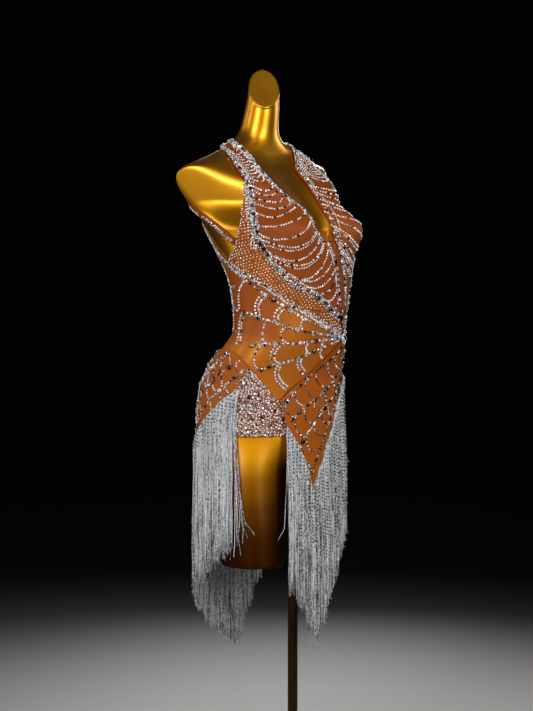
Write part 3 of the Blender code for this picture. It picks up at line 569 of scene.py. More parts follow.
def gold_material():
    m, nt, b = new_material("gold_coat")
    b.inputs["Metallic"].default_value = 1.0
    b.inputs["Coat Weight"].default_value = 0.35
    b.inputs["Coat Roughness"].default_value = 0.26
    v = coords(nt)
    low = noise(nt, v, 7.0, 2.0)
    r = ramp(nt, [(0.30, (0.88, 0.335, 0.0012)), (0.70, (0.95, 0.375, 0.0025))])
    nt.links.new(low, r.inputs["Fac"])
    # painted shade: the gold's colour is made darker toward the ends of the thighs
    part = node(nt, "ShaderNodeSeparateXYZ")
    nt.links.new(v, part.inputs[0])
    painted_shade_height = node(nt, "ShaderNodeMapRange")
    painted_shade_height.inputs["From Min"].default_value = 0.64
    painted_shade_height.inputs["From Max"].default_value = 0.89
    nt.links.new(part.outputs["Z"], painted_shade_height.inputs["Value"])
    deep = ramp(nt, [(0.0, (0.050, 0.030, 0.016)), (0.24, (0.075, 0.052, 0.030)),
                     (0.46, (0.17, 0.13, 0.090)), (0.66, (0.42, 0.40, 0.36)),
                     (0.84, (0.84, 0.98, 1.08)), (1.0, (1.0, 1.10, 1.3))])
    nt.links.new(painted_shade_height.outputs["Result"], deep.inputs["Fac"])
    # the gold's tone times the painted shade
    mul = node(nt, "ShaderNodeMix", data_type="RGBA", blend_type="MULTIPLY")
    mul.inputs[0].default_value = 1.0
    nt.links.new(r.outputs["Color"], mul.inputs[6])
    nt.links.new(deep.outputs["Color"], mul.inputs[7])
    nt.links.new(mul.outputs[2], b.inputs["Base Color"])
    gloss = node(nt, "ShaderNodeMapRange")
    gloss.inputs["From Min"].default_value = 0.70
    gloss.inputs["From Max"].default_value = 0.88
    gloss.inputs["To Min"].default_value = 0.06
    gloss.inputs["To Max"].default_value = 0.60
    nt.links.new(part.outputs["Z"], gloss.inputs["Value"])
    nt.links.new(gloss.outputs["Result"], b.inputs["Coat Weight"])
    fine = noise(nt, v, 900.0, 2.0)
    rr = node(nt, "ShaderNodeMapRange")
    rr.inputs["From Min"].default_value = 0.3
    rr.inputs["From Max"].default_value = 0.7
    rr.inputs["To Min"].default_value = 0.35
    rr.inputs["To Max"].default_value = 0.40
    nt.links.new(noise(nt, v, 24.0, 3.0), rr.inputs["Value"])
    dull = node(nt, "ShaderNodeMapRange")
    dull.inputs["From Min"].default_value = 1.02
    dull.inputs["From Max"].default_value = 0.90
    dull.inputs["To Max"].default_value = 0.20
    nt.links.new(part.outputs["Z"], dull.inputs["Value"])
    rough = node(nt, "ShaderNodeMath", operation="ADD")
    nt.links.new(rr.outputs["Result"], rough.inputs[0])
    nt.links.new(dull.outputs["Result"], rough.inputs[1])
    nt.links.new(rough.outputs["Value"], b.inputs["Roughness"])
    bump(nt, fine, b, 0.04, 0.0001)
    return m


def knit_height(nt, pitch):
    """Fine rib of a stretch knit: two crossed waves."""
    out = []
    for axis, k in (("X", 1.0), ("Z", 1.35)):
        w = node(nt, "ShaderNodeTexWave", Scale=1.0 / pitch / 20.0 * k * 6.283 / 6.283)
        w.bands_direction = axis
        w.inputs["Distortion"].default_value = 0.6
        w.inputs["Detail"].default_value = 1.0
        nt.links.new(coords(nt), w.inputs["Vector"])
        out.append(w.outputs["Fac"])
    mul = node(nt, "ShaderNodeMath", operation="ADD")
    nt.links.new(out[0], mul.inputs[0])
    nt.links.new(out[1], mul.inputs[1])
    return mul.outputs["Value"]


def cloth_material(name, dark, light, rough, sheen, sheen_tint, alpha=1.0, metal=0.0,
                   pitch=0.0009, depth=0.00025, knit=0.3, sides=None, shine=0.18):
    m, nt, b = new_material(name)
    v = coords(nt)
    r = ramp(nt, [(0.28, dark), (0.72, light)])
    nt.links.new(noise(nt, v, 11.0, 4.0, 0.55), r.inputs["Fac"])
    colour, cover = r.outputs["Color"], None
    if sides is not None:
        # closer and redder mesh at the sides, above the waist
        part = node(nt, "ShaderNodeSeparateXYZ")
        nt.links.new(v, part.inputs[0])
        flat = node(nt, "ShaderNodeVectorMath", operation="MULTIPLY")
        nt.links.new(v, flat.inputs[0])
        flat.inputs[1].default_value = (1, 1, 0)
        size = node(nt, "ShaderNodeVectorMath", operation="LENGTH")
        nt.links.new(flat.outputs["Vector"], size.inputs[0])
        out = node(nt, "ShaderNodeMath", operation="ABSOLUTE")
        nt.links.new(part.outputs["X"], out.inputs[0])
        share = node(nt, "ShaderNodeMath", operation="DIVIDE")
        nt.links.new(out.outputs["Value"], share.inputs[0])
        nt.links.new(size.outputs["Value"], share.inputs[1])
        around = node(nt, "ShaderNodeMapRange")
        around.interpolation_type = "SMOOTHSTEP"
        around.inputs["From Min"].default_value = 0.80
        around.inputs["From Max"].default_value = 0.93
        nt.links.new(share.outputs["Value"], around.inputs["Value"])
        above = node(nt, "ShaderNodeMapRange")
        above.interpolation_type = "SMOOTHSTEP"
        above.inputs["From Min"].default_value = 1.050
        above.inputs["From Max"].default_value = 1.090
        nt.links.new(part.outputs["Z"], above.inputs["Value"])
        both = node(nt, "ShaderNodeMath", operation="MULTIPLY")
        nt.links.new(around.outputs["Result"], both.inputs[0])
        nt.links.new(above.outputs["Result"], both.inputs[1])
        tint = node(nt, "ShaderNodeMix", data_type="RGBA")
        nt.links.new(both.outputs["Value"], tint.inputs[0])
        nt.links.new(colour, tint.inputs[6])
        tint.inputs[7].default_value = (*sides, 1)
        colour = tint.outputs[2]
        cover = node(nt, "ShaderNodeMapRange")
        cover.inputs["To Min"].default_value = alpha
        cover.inputs["To Max"].default_value = 0.86
        nt.links.new(both.outputs["Value"], cover.inputs["Value"])
    nt.links.new(colour, b.inputs["Base Color"])
    rr = node(nt, "ShaderNodeMapRange")
    rr.inputs["From Min"].default_value = 0.3
    rr.inputs["From Max"].default_value = 0.7
    rr.inputs["To Min"].default_value = rough - 0.05
    rr.inputs["To Max"].default_value = rough + 0.05
    nt.links.new(noise(nt, v, 40.0, 2.0), rr.inputs["Value"])
    nt.links.new(rr.outputs["Result"], b.inputs["Roughness"])
    b.inputs["Sheen Weight"].default_value = sheen
    b.inputs["Sheen Roughness"].default_value = 0.35
    b.inputs["Sheen Tint"].default_value = (*sheen_tint, 1)
    b.inputs["Metallic"].default_value = metal
    b.inputs["Alpha"].default_value = alpha
    if cover is not None:
        nt.links.new(cover.outputs["Result"], b.inputs["Alpha"])
    b.inputs["Specular IOR Level"].default_value = shine
    bump(nt, knit_height(nt, pitch), b, knit, depth)
    return m


def stone_material(name, stops, rough, metal=1.0, glint_share=0.5):
    """Cut glass: the tone changes at random from stone to stone, and each facet gets painted glints and painted
    dark reflections.
    """
    m, nt, b = new_material(name)
    # painted glints: every flat facet gets its own random tone from black to white, for the light and dark it
    # would reflect
    geo = nt.nodes.new("ShaderNodeNewGeometry")
    snap = node(nt, "ShaderNodeVectorMath", operation="SNAP")
    nt.links.new(geo.outputs["True Normal"], snap.inputs[0])
    snap.inputs[1].default_value = (0.07, 0.07, 0.07)
    facet = nt.nodes.new("ShaderNodeTexWhiteNoise")
    facet.noise_dimensions = "4D"
    nt.links.new(snap.outputs["Vector"], facet.inputs["Vector"])
    nt.links.new(geo.outputs["Random Per Island"], facet.inputs["W"])
    mix = node(nt, "ShaderNodeMix", data_type="FLOAT")
    mix.inputs[0].default_value = glint_share
    nt.links.new(geo.outputs["Random Per Island"], mix.inputs[2])
    nt.links.new(facet.outputs["Value"], mix.inputs[3])
    r = ramp(nt, stops)
    nt.links.new(mix.outputs[0], r.inputs["Fac"])
    nt.links.new(r.outputs["Color"], b.inputs["Base Color"])
    b.inputs["Metallic"].default_value = metal
    b.inputs["Roughness"].default_value = rough
    v = coords(nt)
    bump(nt, noise(nt, v, 1400.0, 1.0), b, 0.15, 0.0002)
    return m


def fringe_material():
    m, nt, b = new_material("silver_yarn")
    geo = nt.nodes.new("ShaderNodeNewGeometry")
    v = coords(nt, (260, 260, 215))
    # tone differs at random from strand to strand; the noise also paints high-contrast light and dark flecks as
    # painted glints of the metallic yarn
    tone_and_glint_noise = noise(nt, v, 1.0, 2.0, 0.9)
    add = node(nt, "ShaderNodeMath", operation="MULTIPLY_ADD")
    nt.links.new(geo.outputs["Random Per Island"], add.inputs[0])
    add.inputs[1].default_value = 0.30
    nt.links.new(tone_and_glint_noise, add.inputs[2])
    part = node(nt, "ShaderNodeSeparateXYZ")
    nt.links.new(coords(nt), part.inputs[0])
    # the tone runs darker towards the hem
    rise = node(nt, "ShaderNodeMapRange")
    rise.inputs["From Min"].default_value = 0.62
    rise.inputs["From Max"].default_value = 0.97
    rise.inputs["To Min"].default_value = -0.020
    rise.inputs["To Max"].default_value = 0.095
    nt.links.new(part.outputs["Z"], rise.inputs["Value"])
    both = node(nt, "ShaderNodeMath", operation="ADD")
    nt.links.new(add.outputs["Value"], both.inputs[0])
    nt.links.new(rise.outputs["Result"], both.inputs[1])
    r = ramp(nt, [(0.50, (0.025, 0.027, 0.034)), (0.57, (0.28, 0.29, 0.32)),
                  (0.62, (0.87, 0.89, 0.94)), (0.67, (0.97, 0.98, 1.0))])
    nt.links.new(both.outputs["Value"], r.inputs["Fac"])
    nt.links.new(r.outputs["Color"], b.inputs["Base Color"])
    b.inputs["Metallic"].default_value = 0.20
    b.inputs["Roughness"].default_value = 0.36
    b.inputs["Sheen Weight"].default_value = 0.20
    w = node(nt, "ShaderNodeTexWave", Scale=1.0)
    w.bands_direction = "DIAGONAL"
    w.inputs["Distortion"].default_value = 2.0
    nt.links.new(coords(nt, (90, 90, 120)), w.inputs["Vector"])
    bump(nt, w.outputs["Fac"], b, 0.9, 0.0006)
    return m


def metal_material(name, colour, rough):
    m, nt, b = new_material(name)
    v = coords(nt, (1, 1, 0.08))
    r = ramp(nt, [(0.3, tuple(c * 0.8 for c in colour)), (0.7, tuple(c * 1.15 for c in colour))])
    nt.links.new(noise(nt, v, 60.0, 4.0), r.inputs["Fac"])
    nt.links.new(r.outputs["Color"], b.inputs["Base Color"])
    b.inputs["Metallic"].default_value = 0.9
    rr = node(nt, "ShaderNodeMapRange")
    rr.inputs["From Min"].default_value = 0.3
    rr.inputs["From Max"].default_value = 0.7
    rr.inputs["To Min"].default_value = rough - 0.06
    rr.inputs["To Max"].default_value = rough + 0.08
    nt.links.new(noise(nt, v, 200.0, 3.0), rr.inputs["Value"])
    nt.links.new(rr.outputs["Result"], b.inputs["Roughness"])
    bump(nt, noise(nt, v, 500.0, 2.0), b, 0.08, 0.0002)
    return m


GOLD = gold_material()
SATIN = cloth_material("rust_satin_cloth", (0.275, 0.055, 0.0040), (0.335, 0.070, 0.0058),
                       0.56, 0.03, (1.0, 0.45, 0.20), knit=.2)
# painted light: a brighter, yellower copy of the same rust satin, so the skirt and hips read as more lit than the
# cups
SATIN_SKIRT_LIT = cloth_material("rust_satin_skirt_lit", (0.370, 0.085, 0.0036), (0.450, 0.108, 0.0054),
                           0.52, 0.03, (1.0, 0.50, 0.20), knit=.2)
BAND = cloth_material("nude_band_mesh", (0.44, 0.108, 0.0070), (0.52, 0.134, 0.0095),
                      0.55, 0.03, (1.0, 0.55, 0.25), alpha=0.58, pitch=0.0012, depth=0.0004, knit=.06)
SHEER = cloth_material("illusion_mesh", (0.62, 0.185, 0.0170), (0.74, 0.230, 0.0240),
                       0.40, 0.03, (1.0, 0.55, 0.25), alpha=0.38, pitch=0.0012, depth=0.0002, knit=.01,
                       sides=(0.420, 0.088, 0.0070), shine=.28)
# the stone ramps run from black to white for the painted facet glints
CRYSTAL = stone_material("clear_beads", [(0.00, (0.02, 0.018, 0.016)), (0.22, (0.05, 0.045, 0.04)),
                                         (0.30, (0.55, 0.54, 0.52)), (0.42, (1.0, 1.0, 1.0)),
                                         (1.00, (1.0, 1.0, 1.0))], 0.12, 0.15, 0.6)
SMOKY = stone_material("smoky_stones", [(0.00, (0.005, 0.005, 0.006)), (0.74, (0.010, 0.010, 0.013)),
                                        (0.80, (0.25, 0.24, 0.24)), (0.90, (0.90, 0.90, 0.90))],
                       0.08, 0.15, 0.8)
FACETED = stone_material("faceted_stones", [(0.00, (0.010, 0.010, 0.012)), (0.34, (0.03, 0.03, 0.03)),
                                            (0.44, (0.36, 0.35, 0.33)), (0.62, (0.80, 0.79, 0.77)),
                                            (0.78, (1.0, 1.0, 1.0))], 0.08, 0.30, 0.8)
YARN = fringe_material()
BRONZE = metal_material("stand_bronze", (0.060, 0.032, 0.011), 0.30)


# ------------------------------------------------------------ dress form
def build_form():
    V, F = [], []

    def add(P):
        k = len(V)
        V.extend(np.asarray(P, float).tolist())
        return np.arange(k, k + len(P))

    def bridge(a, b, wrap=True):
        n = len(a)
        for k in range(n if wrap else n - 1):
            q = (k + 1) % n
            F.append((a[k], a[q], b[q], b[k]))

    ang = 2 * pi * np.arange(AROUND) / AROUND
    levels = np.concatenate([
        np.linspace(CROTCH_Z, 1.06, 34)[:-1], np.linspace(1.06, 1.26, 38)[:-1],
        np.linspace(1.26, 1.405, 58)[:-1], np.linspace(1.405, NECK_CUT["start"], 26)])
    rings = [add(skin(ang, np.full(AROUND, z))) for z in levels]
    top = None
    n = np.array((-NECK_CUT["slope_x"], -NECK_CUT["slope"], 1.0))
    n /= np.linalg.norm(n)
    for f in np.linspace(0, 1, 14)[1:]:
        z = np.full(AROUND, NECK_CUT["start"])
        for _ in range(6):
            q = skin(ang, z)
            cut = (NECK_CUT["z"] + (q[:, 1] - NECK_CUT["y"]) * NECK_CUT["slope"]
                   + q[:, 0] * NECK_CUT["slope_x"])
            z = NECK_CUT["start"] + (cut - NECK_CUT["start"] - 0.0026) * f
        P = skin(ang, z)
        top = P
        rings.append(add(P))
    # soft rim, then the flat face of the neck cut
    centre = top.mean(0)
    r = 0.0026
    for phi in (30, 60, 90):
        away = unit(top - centre)
        away = unit(away - (away @ n)[:, None] * n)
        P = top - away * r * (1 - cos(radians(phi))) + n * r * sin(radians(phi))
        if phi == 90:
            P = P - (((P - P.mean(0)) @ n)[:, None]) * n
        rings.append(add(P))
    face = np.array([V[k] for k in rings[-1]])
    mid = face.mean(0)
    for s in (0.96, 0.6, 0.25):
        dish = -n * 0.0006 * (1 - s)
        rings.append(add(mid + (face - mid) * s + dish))
    for a, b in zip(rings, rings[1:]):
        bridge(a, b)
    hub = add([mid - n * 0.0006])[0]
    last = rings[-1]
    for k in range(AROUND):
        F.append((last[k], last[(k + 1) % AROUND], hub))
    # legs
    front, back = skin(0.0, CROTCH_Z)[1], skin(pi, CROTCH_Z)[1]
    crotch = []
    for k in range(1, ALONG_CROTCH + 1):
        f = k / (ALONG_CROTCH + 1)
        crotch.append((0.0, front + (back - front) * (0.5 - 0.5 * cos(pi * f)),
                       CROTCH_Z - CROTCH_DIP * sin(pi * f) ** 0.8))
    crotch = np.array(crotch)
    mids = add(crotch)
    half = AROUND // 2
    base = np.array([V[k] for k in rings[0]])
    zs = [0.881, 0.876, 0.870, 0.863, 0.855, 0.846, 0.836, 0.824, 0.810, 0.795, 0.778, 0.760,
          0.742, 0.722, 0.702, 0.682, 0.664, 0.648, LEG_END + 0.003]
    for side in (1, -1):
        idx = [rings[0][(side * k) % AROUND] for k in range(half + 1)] + list(mids[::-1])
        P0 = np.array([V[k] for k in idx])
        _, cx, cy, a, b = leg_at(0.0)
        th = np.arctan2((P0[:, 1] - cy) / b, (side * P0[:, 0] - cx) / a)
        t = side * 2 * pi * np.arange(len(idx)) / AROUND
        inner = np.arange(len(idx)) > half
        prev = np.array(idx)
        for z in zs:
            w = smooth((CROTCH_Z - z) / 0.075)
            _, lx, ly, la, lb = leg_at(np.interp(-z, -LEG_Z, LEG_U))
            goal = np.stack([side * (lx + la * np.cos(th)), ly + lb * np.sin(th),
                             np.full(len(th), z)], -1)
            here = skin(t, np.full(len(th), z))
            w_in = min(1.0, (CROTCH_Z - z) / 0.055)
            flat = np.stack([np.zeros(len(th)), P0[:, 1], np.full(len(th), z)], -1)
            flat = flat + (goal - flat) * (1 - (1 - w_in) ** 2)
            here = np.where(inner[:, None], flat, here)
            P = here + (goal - here) * w
            edge = inner.copy()
            edge[0] = edge[half] = True
            depth = CROTCH_Z - P0[:, 2]
            P[:, 2] = np.where(edge, z - depth * (1 - smooth((CROTCH_Z - z) / 0.10)), P[:, 2])
            ring = add(P)
            bridge(ring, prev) if side > 0 else bridge(prev, ring)
            prev = ring
        P = np.array([V[k] for k in prev])
        P[:, 2] = LEG_END + 0.003
        for k, p in zip(prev, P):
            V[k] = p.tolist()
        c = P.mean(0)
        for phi in (30, 60, 90):
            away = unit(P - c)
            Q = P - away * 0.003 * (1 - cos(radians(phi)))
            Q[:, 2] = LEG_END + 0.003 * (1 - sin(radians(phi)))
            ring = add(Q)
            bridge(ring, prev) if side > 0 else bridge(prev, ring)
            prev = ring
        c[2] = LEG_END
        hub = add([c])[0]
        for k in range(len(prev)):
            q = (k + 1) % len(prev)
            F.append((prev[q], prev[k], hub) if side > 0 else (prev[k], prev[q], hub))
    me = bpy.data.meshes.new("form")
    me.from_pydata(V, [], F)
    me.materials.append(GOLD)
    import bmesh
    bm = bmesh.new()
    bm.from_mesh(me)
    bmesh.ops.recalc_face_normals(bm, faces=bm.faces)
    bm.to_mesh(me)
    bm.free()
    me.polygons.foreach_set("use_smooth", np.ones(len(me.polygons), bool))
    me.update()
    ob = bpy.data.objects.new("form", me)
    bpy.context.scene.collection.objects.link(ob)
    return ob


form = build_form()

# ------------------------------------------------------------ cloth
panel("cloth_cup_right", CUP_OUTER, CUP_INNER, SATIN, GAP_CUP, WALL_CUP, 160, 34)
panel("cloth_cup_left", LEFT_CUP_OUTER, LEFT_CUP_INNER, SATIN, GAP_CUP, WALL_CUP, 160, 34)
panel("cloth_centre_strip", STRIP_RIGHT, STRIP_LEFT, SATIN, GAP_CUP, WALL_CUP, 90, 10)
panel("cloth_band_right", BAND_OUTER, BAND_INNER, BAND, GAP_1, WALL_1, 140, 24)
panel("cloth_band_left", LEFT_BAND_OUTER, LEFT_BAND_INNER, BAND, GAP_1, WALL_1, 120, 22)
panel("cloth_neck_bridge", BRIDGE_UP, BRIDGE_LOW, BAND, GAP_CUP, WALL_1, 24, 16)
panel("cloth_midriff_front", MIDRIFF_TOP, MIDRIFF_LOW, SHEER, GAP_1, WALL_1, 130, 46)
panel("cloth_midriff_left", LEFT_SIDE_TOP, LEFT_SIDE_LOW, SHEER, GAP_1, WALL_1, 46, 46)
panel("cloth_back", BACK_TOP, BACK_LOW, SHEER, GAP_1, WALL_1, 130, 66)
for side, flip in (("right", lambda a: a), ("left", mirrored)):
    panel("cloth_side_strap_" + side, flip(SIDE_STRAP_UP), flip(SIDE_STRAP_LOW), SATIN,
          GAP_1, WALL_1, 120, 8)
    panel("cloth_back_strap_" + side, flip(BACK_STRAP_OUTER), flip(BACK_STRAP_INNER), SATIN,
          GAP_CUP, WALL_1, 90, 12)
panel("cloth_briefs", BRIEF_TOP, np.array([(t, BRIEF_HEM_Z) for t, _ in BRIEF_TOP]), SATIN,
      GAP_1, WALL_1, 181, 34, wrap=True)


def hem_wave(t, z):
    """The free hem stands off in shallow uneven waves."""
    low = smooth((0.93 - z) / 0.12)
    return low * (0.0016 + 0.0013 * np.sin(np.radians(t) * 9 + 1.1)
                  + 0.0008 * np.sin(np.radians(t) * 17 + 0.4))


panel("cloth_skirt_front", FRONT_TOP, FRONT_HEM, SATIN_SKIRT_LIT, GAP_2, WALL_2, 140, 52, leave=0.995)
panel("cloth_skirt_back", HIP_TOP, HIP_HEM, SATIN_SKIRT_LIT, GAP_2, WALL_2, 210, 56, leave=0.915,
      lift=lambda t, z: hem_wave(t, z) * 0.6)

node_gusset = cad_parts["briefs_gusset"]
gusset = node_gusset.copy()
gusset.data = node_gusset.data.copy()
gusset.name = "cloth_gusset"
for key in list(gusset.keys()):
    del gusset[key]
gusset.parent = None
gusset.data.materials.clear()
gusset.data.materials.append(SATIN)
bpy.context.scene.collection.objects.link(gusset)
PANELS["cloth_gusset"] = gusset


# ------------------------------------------------------------ stones
def gem(n, rings, top):
    """Faceted stone of radius 1: rings of (radius, height, half turn)."""
    V, F = [], []
    for r, h, turn in rings:
        for k in range(n):
            a = 2 * pi * (k + 0.5 * turn) / n
            V.append((r * cos(a), r * sin(a), h))
    for q in range(len(rings) - 1):
        t0, t1 = rings[q][2], rings[q + 1][2]
        for k in range(n):
            m = (k + 1) % n
            a, b, c, d = q * n + k, q * n + m, (q + 1) * n + k, (q + 1) * n + m
            if t0 == t1:
                F += [(a, b, d), (a, d, c)]
            elif t1 > t0:
                F += [(a, b, c), (b, d, c)]
            else:
                F += [(a, b, d), (a, d, c)]
    last = (len(rings) - 1) * n
    for k in range(1, n - 1):
        F.append((last, last + k, last + k + 1))
    return np.array(V), np.array(F)


BEAD = gem(6, [(1.0, -0.15, 0), (0.98, 0.35, 0), (0.52, 0.80, 0)], 0.8)
CHATON = gem(8, [(1.0, -0.12, 0), (1.0, 0.26, 0), (0.80, 0.52, 1), (0.50, 0.70, 0)], 0.7)


def navette(k):
    V, F = CHATON
    V = V.copy()
    V[:, 0] *= 1.0 + 0.9 * k
    V[:, 1] *= 1.0 - 0.35 * np.abs(V[:, 0] / (1 + .9 * k)) ** 2 * k
    return V, F


def heart(k):
    """Three-cornered stone with rounded corners."""
    V, F = CHATON
    V = V.copy()
    a = np.arctan2(V[:, 1], V[:, 0])
    V[:, :2] *= (1.0 + k * np.cos(3 * a))[:, None]
    return V, F


OVAL = navette(0.55)
MARQUISE = navette(1.1)
KINDS = dict(bead=BEAD, chaton=CHATON, oval=OVAL, marquise=MARQUISE, heart=heart(0.24))
REACH = dict(bead=1.0, chaton=1.0, oval=1.5, marquise=2.0, heart=1.1)


class Stones:
    """Stones gathered for one joined mesh."""

    def __init__(self, name, mats):
        self.name, self.mats = name, mats
        self.items = []

    def add(self, kind, P, N, D, size, mat=0, jitter=0.10):
        P, N, D = (np.atleast_2d(np.asarray(x, float)) for x in (P, N, D))
        n = len(P)
        N = np.broadcast_to(N, P.shape)
        D = np.broadcast_to(D, P.shape)
        size = np.broadcast_to(np.asarray(size, float), (n,))
        mat = np.broadcast_to(np.asarray(mat), (n,))
        self.items.append((kind, P, N, D, size, mat, jitter))

    def build(self):
        Vs, Fs, Ms, base = [], [], [], 0
        for kind, P, N, D, size, mat, jitter in self.items:
            V, F = KINDS[kind]
            n = len(P)
            N = unit(N + rng.normal(0, jitter, P.shape))
            D = D + rng.normal(0, 0.12, P.shape)
            if kind in ("bead", "chaton"):
                D = rng.normal(0, 1, P.shape)
            X = unit(D - (D * N).sum(-1, keepdims=True) * N)
            Y = np.cross(N, X)
            out = (P[:, None] + (X[:, None] * V[None, :, 0:1] + Y[:, None] * V[None, :, 1:2]
                                 + N[:, None] * V[None, :, 2:3]) * size[:, None, None])
            Vs.append(out.reshape(-1, 3))
            Fs.append((F[None] + (base + np.arange(n) * len(V))[:, None, None]).reshape(-1, 3))
            Ms.append(np.repeat(mat, len(F)))
            base += n * len(V)
        ob = mesh_object(self.name, np.concatenate(Vs), np.concatenate(Fs), self.mats, False,
                         np.concatenate(Ms))
        PANELS[self.name] = ob
        return ob


class Track:
    """A line on the cloth, given by (angle, height) rows, measured by length."""

    def __init__(self, rows, gap, leave=None, curve=None, n=400):
        TZ = through(rows, n) if curve is None else curve
        self.P, self.N = worn(TZ[:, 0], TZ[:, 1], gap, leave)
        self.TZ = TZ
        self.s = np.concatenate([[0], np.cumsum(np.linalg.norm(np.diff(self.P, axis=0), axis=1))])
        self.length = self.s[-1]

    def at(self, s):
        s = np.atleast_1d(s)
        P = np.stack([np.interp(s, self.s, self.P[:, k]) for k in range(3)], -1)
        N = unit(np.stack([np.interp(s, self.s, self.N[:, k]) for k in range(3)], -1))
        T = np.stack([np.interp(s + .001, self.s, self.P[:, k])
                      - np.interp(s - .001, self.s, self.P[:, k]) for k in range(3)], -1)
        return P, N, unit(T)


def row_of(stones, track, pitch, size, kind="bead", mat=0, start=0.0, end=None, side=0.0,
           wobble=0.0003, dark=0.0):
    end = track.length if end is None else end
    n = max(1, int(round((end - start) / pitch)))
    s = start + (np.arange(n) + 0.5) * (end - start) / n
    P, N, T = track.at(s)
    across = np.cross(N, T)
    P = P + across * (side + rng.normal(0, wobble, (n, 1)))
    sizes = size * (1 + rng.normal(0, 0.06, n))
    mats = np.where(rng.random(n) < dark, 1, mat)
    stones.add(kind, P, N, T, sizes, mats)


def big_and_small(stones, track, big, small, gap=0.0008, start=0.0, end=None, dark=0.3,
                  kinds=("marquise", "chaton", "oval"), every=2):
    """Big stones set along a line with small ones between them."""
    end = track.length if end is None else end
    s, k = start, 0
    while s < end:
        grow = 1 + rng.normal(0, 0.12)
        if k % every == 0:
            kind = kinds[int(rng.integers(len(kinds)))]
            size = big * grow * {"marquise": .62, "oval": .78}.get(kind, 1.0)
            reach = size * REACH[kind]
        else:
            kind, size = "bead", small * grow
            reach = size
        if s + 2 * reach > end + 0.001:
            break
        P, N, T = track.at(s + reach)
        stones.add(kind, P, N, T, size, 1 if rng.random() < dark else (0 if kind == "bead" else 2), .16)
        s += 2 * reach + gap
        k += 1


def strung(stones, track, big, pitch, small, dark, kinds=("marquise",), start=0.0, end=None,
           small_pitch=None, small_dark=0.25, first=0.5, wobble=.0003):
    """Large stones at even steps with a run of small beads between each two."""
    end = track.length if end is None else end
    n = max(1, int(round((end - start) / pitch)))
    step = (end - start) / n
    at = start + (np.arange(n) + first) * step
    taken = []
    for s in at:
        s = s + rng.normal(0, step * .05)
        kind = kinds[int(rng.integers(len(kinds)))]
        size = big * (1 + rng.normal(0, .12)) * {"marquise": .56, "oval": .76}.get(kind, 1.0)
        P, N, T = track.at(min(max(s, 0), track.length))
        stones.add(kind, P, N, T, size, 1 if rng.random() < dark else 2, .18)
        taken.append((s, size * REACH[kind] + small * .8))
    q = small_pitch or small * 2.25
    x = np.arange(start + q / 2, end, q)
    free = np.all([np.abs(x - s) > reach for s, reach in taken], axis=0)
    x = x[free]
    if len(x):
        P, N, T = track.at(x)
        P = P + np.cross(N, T) * rng.normal(0, wobble, (len(x), 1))
        stones.add("bead", P, N, T, small * (1 + rng.normal(0, .10, len(x))),
                   (rng.random(len(x)) < small_dark).astype(int), .16)


def studded(stones, track, big, pitch, small, dark, rim=0.0, start=0.0, end=None, sides=(-1, 1),
            kinds=("chaton", "chaton", "oval", "heart"), ring=1.0, loose=.0005):
    """A jewelled edge: large stones, each ringed with beads, and a bead row along both sides."""
    end = track.length if end is None else end
    n = max(1, int(round((end - start) / pitch)))
    step = (end - start) / n
    for k in range(n):
        s = start + (k + .5) * step + rng.normal(0, step * .05)
        kind = kinds[int(rng.integers(len(kinds)))]
        size = big * (1 + rng.normal(0, .10)) * (.78 if kind == "oval" else 1.0)
        P, N, T = track.at(s)
        A = np.cross(N, T)
        stones.add(kind, P + N * .0006 + A * rng.normal(0, .0004), N, T, size,
                   1 if rng.random() < dark else 2, .20)
        m = int(ring * 2 * pi * (size + small) / (small * 2.3))
        a = 2 * pi * (np.arange(m) + rng.random()) / m
        long = 1.45 if kind == "oval" else 1.0
        Q = (P + T * ((size * long + small) * np.cos(a))[:, None]
             + A * ((size + small) * np.sin(a))[:, None])
        stones.add("bead", Q, np.repeat(N, m, 0), np.repeat(T, m, 0), small * (1 + rng.normal(0, .12, m)),
                   (rng.random(m) < .24).astype(int), .22)
    if rim:
        for side in sides:
            row_of(stones, track, small * 2.3 / ring, small, side=side * rim, wobble=loose, dark=.14,
                   start=start, end=end)


def crust(stones, track, wide, start=0.0, end=None, big=0.0042, fill=0.0016, dark=0.22, seed_gap=0.8):
    """A crusted band: large stones down its middle, small ones heaped about them."""
    end = track.length if end is None else end
    s = start
    while s < end:
        size = big * (0.75 + 0.5 * rng.random())
        kind = ("chaton", "chaton", "oval")[int(rng.integers(3))]
        P, N, T = track.at(min(s + size, end))
        A = np.cross(N, T)
        off = rng.normal(0, wide * 0.16)
        stones.add(kind, P + A * off + N * 0.0006, N, T + A * rng.normal(0, .5), size,
                   1 if rng.random() < dark else 2, 0.22)
        s += 2 * size * seed_gap
    n = int((end - start) / 0.0011)
    s = start + rng.random(n) * (end - start)
    P, N, T = track.at(s)
    A = np.cross(N, T)
    off = rng.normal(0, wide * 0.42, (n, 1))
    lift = np.exp(-(off / (wide * 0.4)) ** 2) * 0.0010
    stones.add("bead", P + A * off + N * lift, N, T, fill * (0.7 + 0.6 * rng.random(n)),
               (rng.random(n) < dark * 0.8).astype(int), 0.28)


# ------------------------------------------------------------ ornament
OUT_CUP = GAP_CUP + WALL_CUP + 0.0002
OUT_1 = GAP_1 + WALL_1 + 0.0002
OUT_2 = GAP_2 + WALL_2 + 0.0002
FOCAL = (39.0, 1.0665)


def between(one, two, v, n=500, u0=0.0, u1=1.0):
    """(angle, height) rows at share v of the way from one seam to the other."""
    A, B = through(one, 900), through(two, 900)
    i = np.linspace(u0, u1, n) * 899
    L = A * (1 - v) + B * v
    return np.stack([np.interp(i, np.arange(900), L[:, k]) for k in (0, 1)], -1)


def line_on(one, two, v, gap, leave=None, u0=0.0, u1=1.0):
    return Track(None, gap, leave, curve=between(one, two, v, 500, u0, u1))


